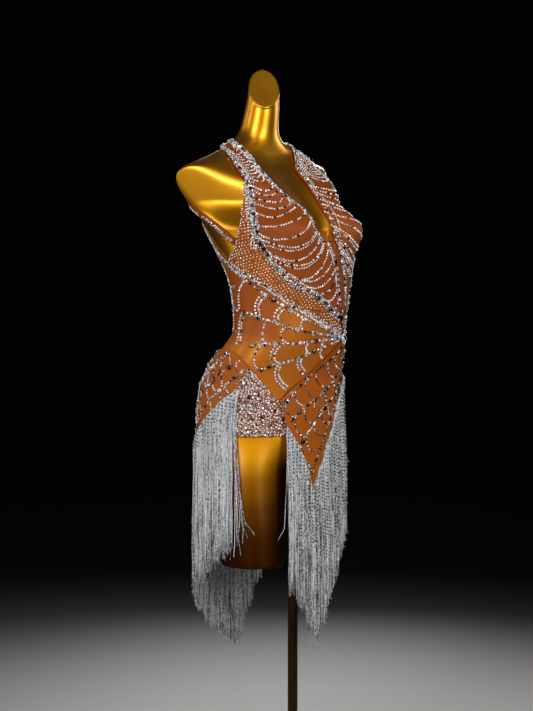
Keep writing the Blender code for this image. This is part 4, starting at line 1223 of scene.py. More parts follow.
def free_line(rows, gap, leave=None, n=240):
    """Smooth line through given (angle, height) rows."""
    rows = np.asarray(rows, float)
    if len(rows) == 2:
        g = np.linspace(0, 1, n)[:, None]
        return Track(None, gap, leave, curve=rows[0] * (1 - g) + rows[1] * g)
    return Track(rows, gap, leave, n=n)


def bezier(a, b, c, d, n=160):
    g = np.linspace(0, 1, n)[:, None]
    a, b, c, d = (np.array(x, float) for x in (a, b, c, d))
    return a * (1 - g) ** 3 + 3 * b * g * (1 - g) ** 2 + 3 * c * g * g * (1 - g) + d * g ** 3


def scatter_between(stones, one, two, gap, pitch, size, margin=0.003, leave=None,
                    u0=0.0, u1=1.0, jitter=0.0004, spread=0.08, dark=0.06, mat=0):
    """Rough staggered grid of small stones over a panel."""
    A = between(one, two, 0.0, 700, u0, u1)
    B = between(one, two, 1.0, 700, u0, u1)
    PA, _ = worn(A[:, 0], A[:, 1], gap, leave)
    PB, _ = worn(B[:, 0], B[:, 1], gap, leave)
    mid = (PA + PB) / 2
    s = np.concatenate([[0], np.cumsum(np.linalg.norm(np.diff(mid, axis=0), axis=1))])
    width = np.linalg.norm(PA - PB, axis=1)
    rows = []
    for k, x in enumerate(np.arange(pitch * .5, s[-1], pitch)):
        i = np.interp(x, s, np.arange(700))
        w = np.interp(i, np.arange(700), width)
        y = np.arange(margin + (pitch * .5 if k % 2 else 0), w - margin, pitch)
        if len(y) == 0:
            continue
        a = np.array([np.interp(i, np.arange(700), A[:, q]) for q in (0, 1)])
        b = np.array([np.interp(i, np.arange(700), B[:, q]) for q in (0, 1)])
        v = (y / w)[:, None]
        rows.append(a * (1 - v) + b * v)
    TZ = np.concatenate(rows)
    TZ = TZ + rng.normal(0, 1, TZ.shape) * (np.degrees(jitter / .125), jitter)
    P, N = worn(TZ[:, 0], TZ[:, 1], gap, leave)
    stones.add("bead", P, N, np.array([[0, 0, 1.0]]), size * (1 + rng.normal(0, spread, len(P))),
               np.where(rng.random(len(P)) < dark, 1, mat))


MATS = [CRYSTAL, SMOKY, FACETED]

# ---- cups: swags of stone chain from the crusted line to the neckline
# (angle, height) places that each swag of the right cup passes, outer end first
SWAGS = [
    [(-32.5, 1.3520), (-29.0, 1.3420), (-20.0, 1.3520)],
    [(-34.5, 1.3450), (-33.0, 1.3330), (-26.0, 1.3370), (-20.5, 1.3460)],
    [(-37.5, 1.3360), (-39.0, 1.3230), (-35.0, 1.3160), (-27.0, 1.3270), (-21.0, 1.3400)],
    [(-46.0, 1.3130), (-42.0, 1.3030), (-34.0, 1.3060), (-26.0, 1.3180), (-21.5, 1.3290)],
    [(-53.0, 1.2990), (-49.0, 1.2910), (-44.5, 1.2890), (-35.5, 1.2970), (-27.0, 1.3090), (-22.0, 1.3180)],
    [(-57.0, 1.2790), (-51.5, 1.2760), (-45.0, 1.2765), (-37.0, 1.2820), (-28.0, 1.2920), (-21.5, 1.3040)],
    [(-58.0, 1.2650), (-52.0, 1.2570), (-45.0, 1.2550), (-36.0, 1.2610), (-28.0, 1.2740), (-20.5, 1.2920)],
    [(-58.0, 1.2550), (-46.0, 1.2440), (-35.5, 1.2420), (-27.0, 1.2500), (-20.5, 1.2650), (-16.5, 1.2790)],
    [(-57.5, 1.2380), (-46.0, 1.2220), (-33.5, 1.2170), (-23.0, 1.2270), (-16.0, 1.2450), (-12.0, 1.2650)],
    [(-54.0, 1.2290), (-41.0, 1.2140), (-27.5, 1.2080), (-17.5, 1.2180), (-12.0, 1.2340), (-8.5, 1.2540)],
    [(-46.5, 1.2050), (-35.5, 1.1880), (-23.5, 1.1820), (-14.5, 1.1910), (-7.5, 1.2120), (-4.5, 1.2400)],
    [(-39.5, 1.1940), (-29.5, 1.1820), (-17.0, 1.1785), (-8.0, 1.1870), (-1.5, 1.2060), (0.5, 1.2200)],
    [(-28.5, 1.1770), (-19.5, 1.1670), (-11.0, 1.1660), (-3.5, 1.1740), (2.0, 1.1900), (4.0, 1.2020)],
    [(-17.5, 1.1620), (-9.0, 1.1550), (-1.0, 1.1560), (5.0, 1.1680), (8.5, 1.1840)],
    [(-4.0, 1.1450), (3.0, 1.1400), (9.0, 1.1440), (13.5, 1.1620)],
    [(8.0, 1.1270), (13.0, 1.1240), (17.0, 1.1290), (19.0, 1.1420)],
]


def flowing(points, n=150):
    """Rounded line through the points (centripetal spline)."""
    p = np.asarray(points, float)
    scale = np.array((.0022, 1.0))
    p = np.vstack([2 * p[0] - p[1], p, 2 * p[-1] - p[-2]])
    out = []
    for k in range(1, len(p) - 2):
        q = p[k - 1:k + 3]
        d = np.sqrt(np.maximum(np.linalg.norm(np.diff(q, axis=0) * scale, axis=1), 1e-6))
        t0, t1 = 0.0, d[0]
        t2, t3 = d[0] + d[1], d.sum()
        t = np.linspace(t1, t2, n // (len(p) - 3) + 2, endpoint=k == len(p) - 3)[:, None]
        a1 = (t1 - t) / (t1 - t0) * q[0] + (t - t0) / (t1 - t0) * q[1]
        a2 = (t2 - t) / (t2 - t1) * q[1] + (t - t1) / (t2 - t1) * q[2]
        a3 = (t3 - t) / (t3 - t2) * q[2] + (t - t2) / (t3 - t2) * q[3]
        b1 = (t2 - t) / (t2 - t0) * a1 + (t - t0) / (t2 - t0) * a2
        b2 = (t3 - t) / (t3 - t1) * a2 + (t - t1) / (t3 - t1) * a3
        out.append((t2 - t) / (t2 - t1) * b1 + (t - t1) / (t2 - t1) * b2)
    return np.concatenate(out)


def at_height(rows, z):
    L = through(rows, 900)
    return np.array([np.interp(-z, -L[:, 1], L[:, 0]), z])


def spot(one, two, u, v):
    """Place at share u along and share v across from one seam to the other."""
    L = [through(rows, 900) for rows in (one, two)]
    a, b = (np.array([np.interp(u * 899, np.arange(900), M[:, k]) for k in (0, 1)]) for M in L)
    return a * (1 - v) + b * v


def across_to(t, z, one, two):
    """Angle on one pair of seams at the same share of the width as t has on the other pair."""
    a, b = (at_height(L, z)[0] for L in one)
    c, d = (at_height(L, z)[0] for L in two)
    v = (t - a) / (b - a)
    return c + v * (d - c)


def cup_ornament(name, outer, inner, side, crust_u, inner_u, low_outer):
    st = Stones(name, MATS)
    for k, sw in enumerate(SWAGS):
        pts = np.array(sw)
        if side > 0 and k > 11:
            continue
        if side > 0:
            pts = np.array([(across_to(t, z, (CUP_INNER, CUP_OUTER), (LEFT_CUP_INNER, LEFT_CUP_OUTER)), z)
                            for t, z in pts])
        row_of(st, Track(None, OUT_CUP, curve=flowing(pts)), 0.0050, 0.00205, dark=0.15)
        if k in (7, 9):
            row_of(st, Track(None, OUT_CUP, curve=flowing(pts - (0, .0062))), 0.0048, 0.0018,
                   start=.012, dark=0.13)
    reach = line_on(outer, inner, .5, OUT_CUP, u0=0.0, u1=crust_u).length
    drop = crust_u * .021 / reach
    for u in np.arange(.004, crust_u - drop * .9, crust_u * .0106 / reach):
        pts = [spot(outer, inner, max(u + a * drop, 0), v) for a, v in
               ((0.0, .17), (.72, .27), (1.0, .46), (.82, .68), (-.05, .84))]
        row_of(st, Track(None, OUT_CUP, curve=flowing(pts)), 0.0046, 0.00175, dark=0.12)
    # strap edges and the neckline
    studded(st, line_on(outer, inner, 0.10, OUT_CUP, u0=0.0, u1=crust_u), .0038, .0090, .0012, .08,
            rim=.0038, ring=.42)
    studded(st, line_on(outer, inner, 0.90, OUT_CUP, u0=0.0, u1=crust_u + .02), .0041, .0100, .0012, .10,
            rim=.0042, ring=.42)
    big_and_small(st, line_on(outer, inner, 0.955, OUT_CUP, u0=crust_u, u1=inner_u), .0034, .0015,
                  dark=.24, kinds=("chaton", "chaton", "oval"), every=3)
    row_of(st, line_on(outer, inner, 0.895, OUT_CUP, u0=crust_u, u1=inner_u), .0038, .00125, dark=.15)
    # the crusted line under the cup
    studded(st, line_on(outer, inner, 0.0 if side < 0 else 0.02, OUT_CUP, u0=crust_u - .01, u1=1.0),
            .0041, .0112, .0014, .40, rim=.0052, ring=.55, loose=.0012)
    st.build()
    return st


cup_ornament("stones_cup_right", CUP_OUTER, CUP_INNER, -1, 5 / 17, 10 / 17, 1.0)
cup_ornament("stones_cup_left", LEFT_CUP_OUTER, LEFT_CUP_INNER, 1, 5 / 18, 10 / 18, 1.0)

# ---- both edges of the centre strip, and the gather at the left waist
st = Stones("stones_centre", MATS)
for edge, other, v, u0 in ((STRIP_RIGHT, STRIP_LEFT, -0.10, 0.0), (STRIP_LEFT, STRIP_RIGHT, -0.12, 0.0)):
    big_and_small(st, line_on(edge, other, v, OUT_CUP, u0=u0, u1=0.97), .0040, .0016, dark=.42,
                  kinds=("chaton", "oval", "marquise"), every=2)
    row_of(st, line_on(edge, other, v - .28, OUT_CUP, u0=0.02, u1=.72), .0034, .0015, dark=.2)
bridge_line = Track(np.array([(-6.2, 1.2620), (0.0, 1.2600), (5.4, 1.2620)]), OUT_CUP)
ang = rng.random(46) * 2 * pi
rad = np.sqrt(rng.random(46)) * 0.0115
TZ = np.stack([FOCAL[0] + np.degrees(rad * np.cos(ang) / .10), FOCAL[1] + rad * np.sin(ang)], -1)
P, N = worn(TZ[:, 0], TZ[:, 1], OUT_CUP + .0006)
st.add("chaton", P[:14], N[:14], N[:14] * 0 + (0, 0, 1), .0032 + rng.random(14) * .0012,
       (rng.random(14) < .3).astype(int), .25)
st.add("bead", P[14:], N[14:], N[14:] * 0 + (0, 0, 1), .0016 + rng.random(32) * .0006,
       (rng.random(32) < .2).astype(int), .25)
st.build()

# ---- side bands: small stones in a rough grid, double row along the lower seam
st = Stones("stones_bands", MATS)
scatter_between(st, BAND_OUTER[:6], BAND_INNER[:6], OUT_1, .0064, .00130, u0=.06, u1=1)
scatter_between(st, BAND_OUTER[5:], BAND_INNER[5:], OUT_1, .0064, .00130, u0=0, u1=.97)
scatter_between(st, LEFT_BAND_OUTER[:6], LEFT_BAND_INNER[:6], OUT_1, .0064, .00130, u0=.06)
scatter_between(st, LEFT_BAND_OUTER[5:], LEFT_BAND_INNER[5:], OUT_1, .0064, .00130, u0=0, u1=.97)
for one, two, sgn in ((BAND_OUTER, BAND_INNER, 1), (LEFT_BAND_OUTER, LEFT_BAND_INNER, -1)):
    # heaped stones beside the armhole, thinning out away from the cup
    up = line_on(one, two, .86, OUT_1, u0=.0, u1=.36)
    for off, pitch, r in ((0, .0048, .0021), (.0048, .0052, .0019), (.0094, .0058, .0017)):
        row_of(st, up, pitch, r, side=-sgn * off, wobble=.0007, dark=.1)
    seam_line = line_on(one[5:], two[5:], 0.0, OUT_1, u0=0, u1=.99)
    row_of(st, seam_line, .0050, .0022, side=-.0036 * sgn, wobble=.0005, dark=.08)
    studded(st, seam_line, .0025, .0088, .0014, .12, sides=(sgn,), ring=.55, loose=.0009)
    row_of(st, line_on(one[:6], two[:6], .035, OUT_1, u0=.1), .0052, .0012, dark=.1)
st.build()

# ---- midriff: lines of large stones fanning from the gather, arcs between them
RADIALS = [
    [(-72.5, 1.057), (-49.5, 1.062), (-28, 1.063), (-2, 1.067), (22, 1.0675), FOCAL],
    [(-50, 1.013), (-35.5, 1.024), (-22, 1.033), (0, 1.051), (20, 1.061), FOCAL],
    [(-118, 1.124), (-91, 1.121), (-70, 1.111), (-55, 1.104), (-40, 1.095), (-22, 1.085), (0, 1.078), FOCAL],
    [(-99, 1.204), (-82, 1.181), (-62, 1.155), (-43, 1.133), (-23, 1.110), (0, 1.091), (22, 1.075)],
]
st = Stones("stones_midriff", MATS)
for rows in RADIALS:
    tr = free_line(rows, OUT_1)
    cutoff = tr.length * .74
    big_and_small(st, tr, .0048, .0024, end=cutoff, dark=.24, gap=.0016, every=2,
                  kinds=("oval", "chaton", "marquise", "heart"))
    big_and_small(st, tr, .0034, .0019, start=cutoff, dark=.25, gap=.0008,
                  kinds=("oval", "chaton"))
# from, through, to (angle, height), rows
ARCS = [
    dict(a=(-82, 1.179), m=(-95, 1.156), b=(-97, 1.124), rows=1),
    dict(a=(-89, 1.118), m=(-96, 1.092), b=(-87, 1.058), rows=2),
    dict(a=(-60, 1.153), m=(-70, 1.137), b=(-69, 1.112), rows=2),
    dict(a=(-60, 1.105), m=(-64, 1.084), b=(-58, 1.062), rows=1),
    dict(a=(-42, 1.131), m=(-50, 1.115), b=(-47, 1.101), rows=2),
    dict(a=(-39, 1.094), m=(-45, 1.079), b=(-36, 1.064), rows=1),
    dict(a=(-22, 1.108), m=(-25, 1.098), b=(-23, 1.087), rows=1),
    dict(a=(-60, 1.059), m=(-60, 1.037), b=(-51, 1.015), rows=1),
    dict(a=(-42, 1.061), m=(-44, 1.042), b=(-37, 1.024), rows=2),
    dict(a=(-34, 1.022), m=(-32, 0.998), b=(-22, 0.978), rows=2),
    dict(a=(-14, 1.064), m=(-15, 1.054), b=(-11, 1.043), rows=1),
    dict(a=(-17, 1.036), m=(-16, 1.021), b=(-9, 1.006), rows=2),
    dict(a=(4, 1.066), m=(2, 1.060), b=(5, 1.054), rows=1),
    dict(a=(3, 1.050), m=(2, 1.040), b=(7, 1.032), rows=1),
]


def arc_stones(stones, a, m, b, rows, gap, apart=.0072, size=.00225, pitch=.0056, leave=None):
    a, m, b = (np.array(x, float) for x in (a, m, b))
    c = m * 2 - (a + b) / 2
    g = np.linspace(0, 1, 120)[:, None]
    curve = a * (1 - g) ** 2 + 2 * c * g * (1 - g) + b * g ** 2
    tr = Track(None, gap, leave, curve=curve)
    for k in range(rows):
        off = (k - (rows - 1) / 2) * apart
        row_of(stones, tr, pitch, size, side=off, wobble=.0003, dark=.07)


for arc in ARCS:
    arc_stones(st, arc["a"], arc["m"], arc["b"], arc["rows"], OUT_1)
# the wearer's left side
for rows in ([(100, 1.128), (82, 1.118), (62, 1.100), (48, 1.080)],
             [(100, 1.085), (80, 1.080), (60, 1.075), (46, 1.069)],
             [(100, 1.176), (90, 1.160), (74, 1.135), (58, 1.104)]):
    big_and_small(st, free_line(rows, OUT_1), .0034, .0016, dark=.34, gap=.0012, every=3,
                  kinds=("oval", "chaton", "marquise"))
for a, m, b, n in (((92, 1.164), (99, 1.146), (96, 1.128), 1), ((88, 1.121), (93, 1.102), (88, 1.084), 2),
                   ((72, 1.110), (76, 1.094), (72, 1.079), 1), ((74, 1.136), (79, 1.126), (77, 1.116), 1)):
    arc_stones(st, a, m, b, n, OUT_1)
st.build()

# ---- sheer back: level lines that sink to the middle, arcs between them
st = Stones("stones_back", MATS)
LEVELS = [dict(z=1.2540, dip=.006, reach=56), dict(z=1.2110, dip=.010, reach=74),
          dict(z=1.1670, dip=.012, reach=78), dict(z=1.1240, dip=.012, reach=62),
          dict(z=1.0820, dip=.010, reach=78)]
for L in LEVELS:
    t = np.linspace(-180 + L["reach"], -180 - L["reach"], 160)
    z = L["z"] - L["dip"] * smooth(1 - np.abs(t + 180) / L["reach"])
    big_and_small(st, Track(None, OUT_1, curve=np.stack([t, z], -1)), .0034, .0016, dark=.30,
                  gap=.0012, every=3, kinds=("oval", "chaton", "marquise"))
for r, (hi, lo) in enumerate(zip(LEVELS, LEVELS[1:])):
    count = (3, 4, 4, 4)[r]
    for k in range(-count, count + 1):
        if k == 0 and r % 2:
            continue
        t = (k + (.5 if r % 2 else 0) * np.sign(k) * -1) * 14.5
        reach = min(hi["reach"], lo["reach"])
        if abs(t) > reach - 3:
            continue
        z0 = hi["z"] - hi["dip"] * float(smooth(1 - abs(t) / hi["reach"])) - .003
        z1 = lo["z"] - lo["dip"] * float(smooth(1 - abs(t) / lo["reach"])) + .003
        lean = 4.5 * (np.sign(t) if t else 0)
        arc_stones(st, (-180 + t, z0), (-180 + t + lean, (z0 + z1) / 2), (-180 + t + .5 * lean, z1),
                   2 if (k + r) % 3 == 0 else 1, OUT_1)
edge = line_on(BACK_TOP, BACK_LOW, .018, OUT_1)
big_and_small(st, edge, .0026, .0016, dark=.22, kinds=("chaton", "oval"), every=3)
row_of(st, edge, .0040, .0014, side=-.0045, dark=.1)
st.build()

# ---- straps round the side and down the back
st = Stones("stones_straps", MATS)
for flip in (lambda a: a, mirrored):
    up, low = flip(SIDE_STRAP_UP), flip(SIDE_STRAP_LOW)
    big_and_small(st, line_on(up, low, .52, OUT_1, u0=.02), .0026, .0017, dark=.25,
                  kinds=("chaton", "oval"), every=3)
    row_of(st, line_on(up, low, .84, OUT_1, u0=.03), .0044, .0013, dark=.15, wobble=.0005)
    a, b = flip(BACK_STRAP_OUTER), flip(BACK_STRAP_INNER)
    for v, w in ((.14, .0060), (.86, .0060)):
        crust(st, line_on(a, b, v, GAP_CUP + WALL_1, u0=.0, u1=.98), w, big=.0034, fill=.0014, dark=.12)
    for u in np.arange(.05, .93, .068):
        ends = [between(a, b, v, 50, max(u + d, 0), max(u + d, 0) + .001)[0]
                for v, d in ((.16, .02), (.5, -.012), (.84, .02))]
        arc_stones(st, ends[0], ends[1], ends[2], 1, GAP_CUP + WALL_1, size=.0014, pitch=.0030)
st.build()

# ---- briefs: stones set close, large ones among small ones
st = Stones("stones_briefs", MATS)


def close_set(stones, t_lo, t_hi, z_lo, z_top, gap, tries=40000, sizes=(.0015, .0028), clear=.00002):
    cell, grid, kept = .006, {}, []
    R = .135
    x0 = radians(t_lo) * R
    for k in range(tries):
        t = t_lo + (t_hi - t_lo) * rng.random()
        z = z_lo + (1.02 - z_lo) * rng.random()
        if z > np.interp(t, z_top[:, 0], z_top[:, 1]) - .0022:
            continue
        pick = rng.random()
        if k < 110:
            r = .0028 + .0012 * rng.random()
        else:
            r = sizes[0] + (sizes[1] - sizes[0]) * pick ** 1.1
        x = radians(t) * R
        c = (int(x // cell), int(z // cell))
        ok = True
        for i in (-1, 0, 1):
            for j in (-1, 0, 1):
                for (u, w, s) in grid.get((c[0] + i, c[1] + j), ()):
                    if (u - x) ** 2 + (w - z) ** 2 < (s + r + clear) ** 2:
                        ok = False
        if ok:
            grid.setdefault(c, []).append((x, z, r))
            kept.append((t, z, r))
    K = np.array(kept)
    P, N = worn(K[:, 0], K[:, 1], gap)
    large = K[:, 2] > .0028
    up = np.array([[0, 0, 1.0]])
    stones.add("chaton", P[large], N[large], up, K[large, 2],
               np.where(rng.random(large.sum()) < .25, 1, 2), .18)
    stones.add("bead", P[~large], N[~large], up, K[~large, 2],
               (rng.random((~large).sum()) < .05).astype(int), .16)


top = through(BRIEF_TOP, 900)
close_set(st, -76, -10, BRIEF_HEM_Z + .0020, top, OUT_1)
st.build()


# ---- skirt: a net of dark and clear stones with drooping scallops
def chain(stones, points, gap, leave, size=.00165, pitch=.0043, dark=.55):
    tr = Track(None, gap, leave, curve=flowing(points) if len(points) > 2 else
               np.array(points[0]) + (np.array(points[1]) - points[0]) * np.linspace(0, 1, 60)[:, None])
    row_of(stones, tr, pitch, size, wobble=.0003, dark=dark)


st = Stones("stones_skirt_front", MATS)
FRONT_NET = [
    [(58.0, 1.0540), (50.0, 1.0590), (41.0, 1.0580), (32.5, 1.0490), (23.0, 1.0370), (12.5, 1.0250), (2.5, 1.0110),
     (-6.0, 0.9970), (-13.5, 0.9810), (-19.0, 0.9680), (-23.5, 0.9560), (-27.0, 0.9440)],
    [(60.0, 1.0400), (50.0, 1.0350), (42.0, 1.0190), (36.0, 1.0090), (29.5, 0.9970), (20.5, 0.9810),
     (10.5, 0.9660), (1.0, 0.9530), (-9.0, 0.9410), (-16.0, 0.9280), (-23.0, 0.9110)],
    [(60.0, 1.0180), (51.0, 1.0120), (43.5, 0.9990), (36.0, 0.9800), (27.0, 0.9610), (17.0, 0.9450),
     (7.5, 0.9290), (-2.5, 0.9010), (-8.5, 0.8840), (-13.0, 0.8680)],
    [(56.0, 0.9935), (47.0, 0.9860), (38.0, 0.9670), (30.0, 0.9475), (21.5, 0.9230), (14.5, 0.8940),
     (8.5, 0.8710), (4.0, 0.8490), (0.0, 0.8260), (-3.0, 0.8090)],
]
FRONT_SWAGS = [
    [(35.0, 1.0510), (36.0, 1.0330), (42.5, 1.0230)], [(24.0, 1.0370), (26.0, 1.0170), (34.0, 1.0080)],
    [(13.0, 1.0250), (17.0, 1.0030), (25.0, .9910)], [(1.0, 1.0080), (4.0, .9860), (14.0, .9720)],
    [(-8.5, .9920), (-6.5, .9690), (1.0, .9540)], [(-18.5, .9680), (-15.5, .9520), (-9.5, .9415)],
    [(-26.0, .9460), (-24.5, .9350), (-19.0, .9230)],
    [(46.0, 1.0290), (46.5, 1.0120), (50.5, 1.0110)], [(36.5, 1.0080), (37.0, .9920), (42.5, .9960)],
    [(24.5, .9870), (26.0, .9710), (32.5, .9720)], [(12.0, .9680), (13.5, .9500), (20.5, .9500)],
    [(0.0, .9510), (1.5, .9350), (9.5, .9320)], [(-9.5, .9400), (-8.5, .9200), (-.5, .9060)],
    [(-17.5, .9250), (-16.5, .8980), (-9.0, .8830)],
    [(36.5, .9800), (36.5, .9690), (41.5, .9750)], [(26.0, .9590), (26.5, .9440), (31.5, .9520)],
    [(16.0, .9430), (17.5, .9240), (23.5, .9290)], [(7.5, .9280), (9.0, .9110), (17.0, .9040)],
    [(0.0, .9080), (2.5, .8880), (11.5, .8830)], [(-7.5, .8860), (-5.0, .8620), (4.5, .8540)],
    [(-12.5, .8680), (-9.5, .8470), (-1.5, .8190)],
]
for rows in FRONT_NET:
    strung(st, Track(None, OUT_2, .995, curve=flowing(rows, 400)), .0055, .0215, .00165, .90,
           kinds=("marquise", "marquise", "oval"), small_pitch=.0042, small_dark=.60)
for rows in FRONT_SWAGS:
    chain(st, rows, OUT_2, .995)
row_of(st, Track(None, OUT_2, .995, curve=between(FRONT_HEM, FRONT_TOP, .02, 500, 2 / 14, .95)),
       .0046, .0012, dark=.35)
st.build()

st = Stones("stones_skirt_back", MATS)
gap_back = lambda t, z: OUT_2 + hem_wave(t, z) * .6
HIP_NET = [
    [(-62.5, 1.0160), (-65.5, 1.0060), (-71.5, .9930), (-78.0, .9790), (-84.0, .9660), (-93.0, .9490),
     (-99.0, .9350), (-110.0, .9110), (-119.0, .8910), (-126.0, .8720)],
    [(-71.5, 1.0310), (-77.5, 1.0190), (-82.0, 1.0120), (-86.5, 1.0040), (-90.5, .9940), (-96.5, .9820),
     (-106.0, .9640), (-118.0, .9410), (-130.0, .9150), (-141.0, .8880), (-150.0, .8640), (-158.5, .8360)],
    [(-92.0, 1.0430), (-96.5, 1.0320), (-101.0, 1.0220), (-105.5, 1.0110), (-115.0, .9920), (-128.0, .9660),
     (-140.0, .9400), (-152.0, .9110), (-163.0, .8810), (-172.0, .8520), (-181.0, .8180)],
    [(-113.0, 1.0430), (-120.0, 1.0280), (-130.0, 1.0060), (-142.0, .9790), (-154.0, .9500), (-166.0, .9190),
     (-176.0, .8900), (-182.0, .8700)],
    [(-135.0, 1.0390), (-144.0, 1.0180), (-156.0, .9900), (-168.0, .9600), (-181.0, .9250)],
    [(-157.0, 1.0350), (-165.0, 1.0150), (-174.0, .9920), (-181.0, .9730)],
    [(-171.0, 1.0340), (-176.0, 1.0240), (-181.0, 1.0120)],
]
HIP_SWAGS = [
    [(-90.5, 1.0420), (-86.0, 1.0340), (-80.5, 1.0240), (-78.5, 1.0210)],
    [(-74.0, 1.0260), (-71.0, 1.0160), (-66.5, 1.0050)], [(-66.5, 1.0030), (-62.5, .9930), (-60.5, .9900)],
    [(-94.0, 1.0370), (-92.0, 1.0240), (-88.0, 1.0070)], [(-85.5, 1.0050), (-83.0, .9980), (-78.5, .9800)],
    [(-76.0, .9830), (-73.5, .9760), (-70.5, .9690)], [(-91.5, .9910), (-88.0, .9760), (-81.5, .9700)],
    [(-82.5, .9680), (-79.0, .9640), (-77.0, .9550)], [(-90.0, .9530), (-88.5, .9460), (-87.0, .9360)],
    [(-97.5, .9780), (-96.5, .9670), (-91.0, .9550)], [(-100.0, 1.0230), (-97.5, 1.0080), (-93.0, .9930)],
    [(-105.0, 1.0110), (-103.0, .9960), (-98.5, .9800)],
]
for flip in (1, -1):
    lines = []
    for rows in HIP_NET:
        c = flowing(rows, 400)
        if flip < 0:
            c = np.stack([-360 - c[:, 0], c[:, 1]], -1)
        hem = np.interp(-c[:, 0], -HIP_HEM[:, 0], HIP_HEM[:, 1])
        top_z = np.interp(-c[:, 0], -HIP_TOP[:, 0], HIP_TOP[:, 1])
        c = c[(c[:, 1] > hem + .005) & (c[:, 1] < top_z - .002) & (c[:, 0] > -296)]
        lines.append(c)
        strung(st, Track(None, gap_back, .915, curve=c), .0052, .0200, .00185, .36,
               kinds=("marquise", "oval", "heart", "marquise"), small_pitch=.0044, small_dark=.24)
    for rows in HIP_SWAGS:
        p = np.array(rows)
        if flip < 0:
            p = np.stack([-360 - p[:, 0], p[:, 1]], -1)
            p = p[p[:, 0] > -296]
        if len(p) > 2:
            chain(st, p, gap_back, .915, size=.00180, pitch=.0045, dark=.26)
    for low, up in zip(lines, lines[1:]):
        d = np.concatenate([[0], np.cumsum(np.hypot(np.diff(up[:, 0]) * .0027, np.diff(up[:, 1])))])
        for s0 in np.arange(.012, d[-1] - .004, .0225):
            a = up[int(np.searchsorted(d, s0))]
            if a[0] > -104 or a[0] < -256:
                continue
            want = a + (5.0 * flip, -.020)
            b = low[np.argmin(np.hypot((low[:, 0] - want[0]) * .0027, low[:, 1] - want[1]))]
            if np.hypot((b[0] - a[0]) * .0027, b[1] - a[1]) > .042:
                continue
            m = (a + b) / 2 + (-1.6 * flip, -.0050)
            chain(st, [a, m, b], gap_back, .915, size=.00180, pitch=.0045, dark=.26)
row_of(st, Track(None, gap_back, .915, curve=between(HIP_HEM, HIP_TOP, .02, 900)), .0042, .0014, dark=.30)
st.build()


# ------------------------------------------------------------ fringe
class Strands:
    def __init__(self, name, sides=3):
        self.name, self.sides, self.parts = name, sides, []

    def add(self, C, R, twist):
        """C: strands x rings x 3, R: radius along them."""
        S, K = C.shape[:2]
        T = np.gradient(C, axis=1)
        T = unit(T)
        ref = np.array((0.0, 1.0, 0.0))
        U = unit(np.cross(T, ref))
        W = np.cross(T, U)
        V = []
        for q in range(self.sides):
            a = 2 * pi * q / self.sides + twist[:, None] + np.linspace(0, 5, K)[None]
            V.append(C + (U * np.cos(a)[..., None] + W * np.sin(a)[..., None]) * R[..., None])
        V = np.stack(V, 2)                       # S, K, sides, 3
        k = np.arange(K - 1)[:, None]
        q = np.arange(self.sides)[None]
        q1 = (q + 1) % self.sides
        f = np.stack([k * self.sides + q, k * self.sides + q1,
                      (k + 1) * self.sides + q1, (k + 1) * self.sides + q], -1).reshape(-1, 4)
        F = f[None] + (np.arange(S) * K * self.sides)[:, None, None]
        cap0 = np.array([[2, 1, 0, 0]]) if self.sides == 3 else None
        self.parts.append((V.reshape(-1, 3), F.reshape(-1, 4), S, K))

    def build(self, mat):
        Vs, Fs, caps, base = [], [], [], 0
        for V, F, S, K in self.parts:
            Vs.append(V)
            Fs.append(F + base)
            n = self.sides
            for end, order in ((0, (2, 1, 0)), ((K - 1) * n, (0, 1, 2))):
                idx = np.arange(S)[:, None] * K * n + end + np.array(order)[None]
                caps.append(idx + base)
            base += len(V)
        V = np.concatenate(Vs)
        Q = np.concatenate(Fs)
        T = np.concatenate(caps)
        me = bpy.data.meshes.new(self.name)
        me.vertices.add(len(V))
        me.vertices.foreach_set("co", V.astype(np.float32).ravel())
        nq, ntri = len(Q), len(T)
        me.loops.add(nq * 4 + ntri * 3)
        me.loops.foreach_set("vertex_index",
                             np.concatenate([Q.ravel(), T.ravel()]).astype(np.int32))
        me.polygons.add(nq + ntri)
        me.polygons.foreach_set("loop_start", np.concatenate(
            [np.arange(nq) * 4, nq * 4 + np.arange(ntri) * 3]).astype(np.int32))
        me.update(calc_edges=True)
        me.materials.append(mat)
        me.polygons.foreach_set("use_smooth", np.ones(len(me.polygons), bool))
        me.validate()
        ob = bpy.data.objects.new(self.name, me)
        bpy.context.scene.collection.objects.link(ob)
        PANELS[self.name] = ob
        return ob


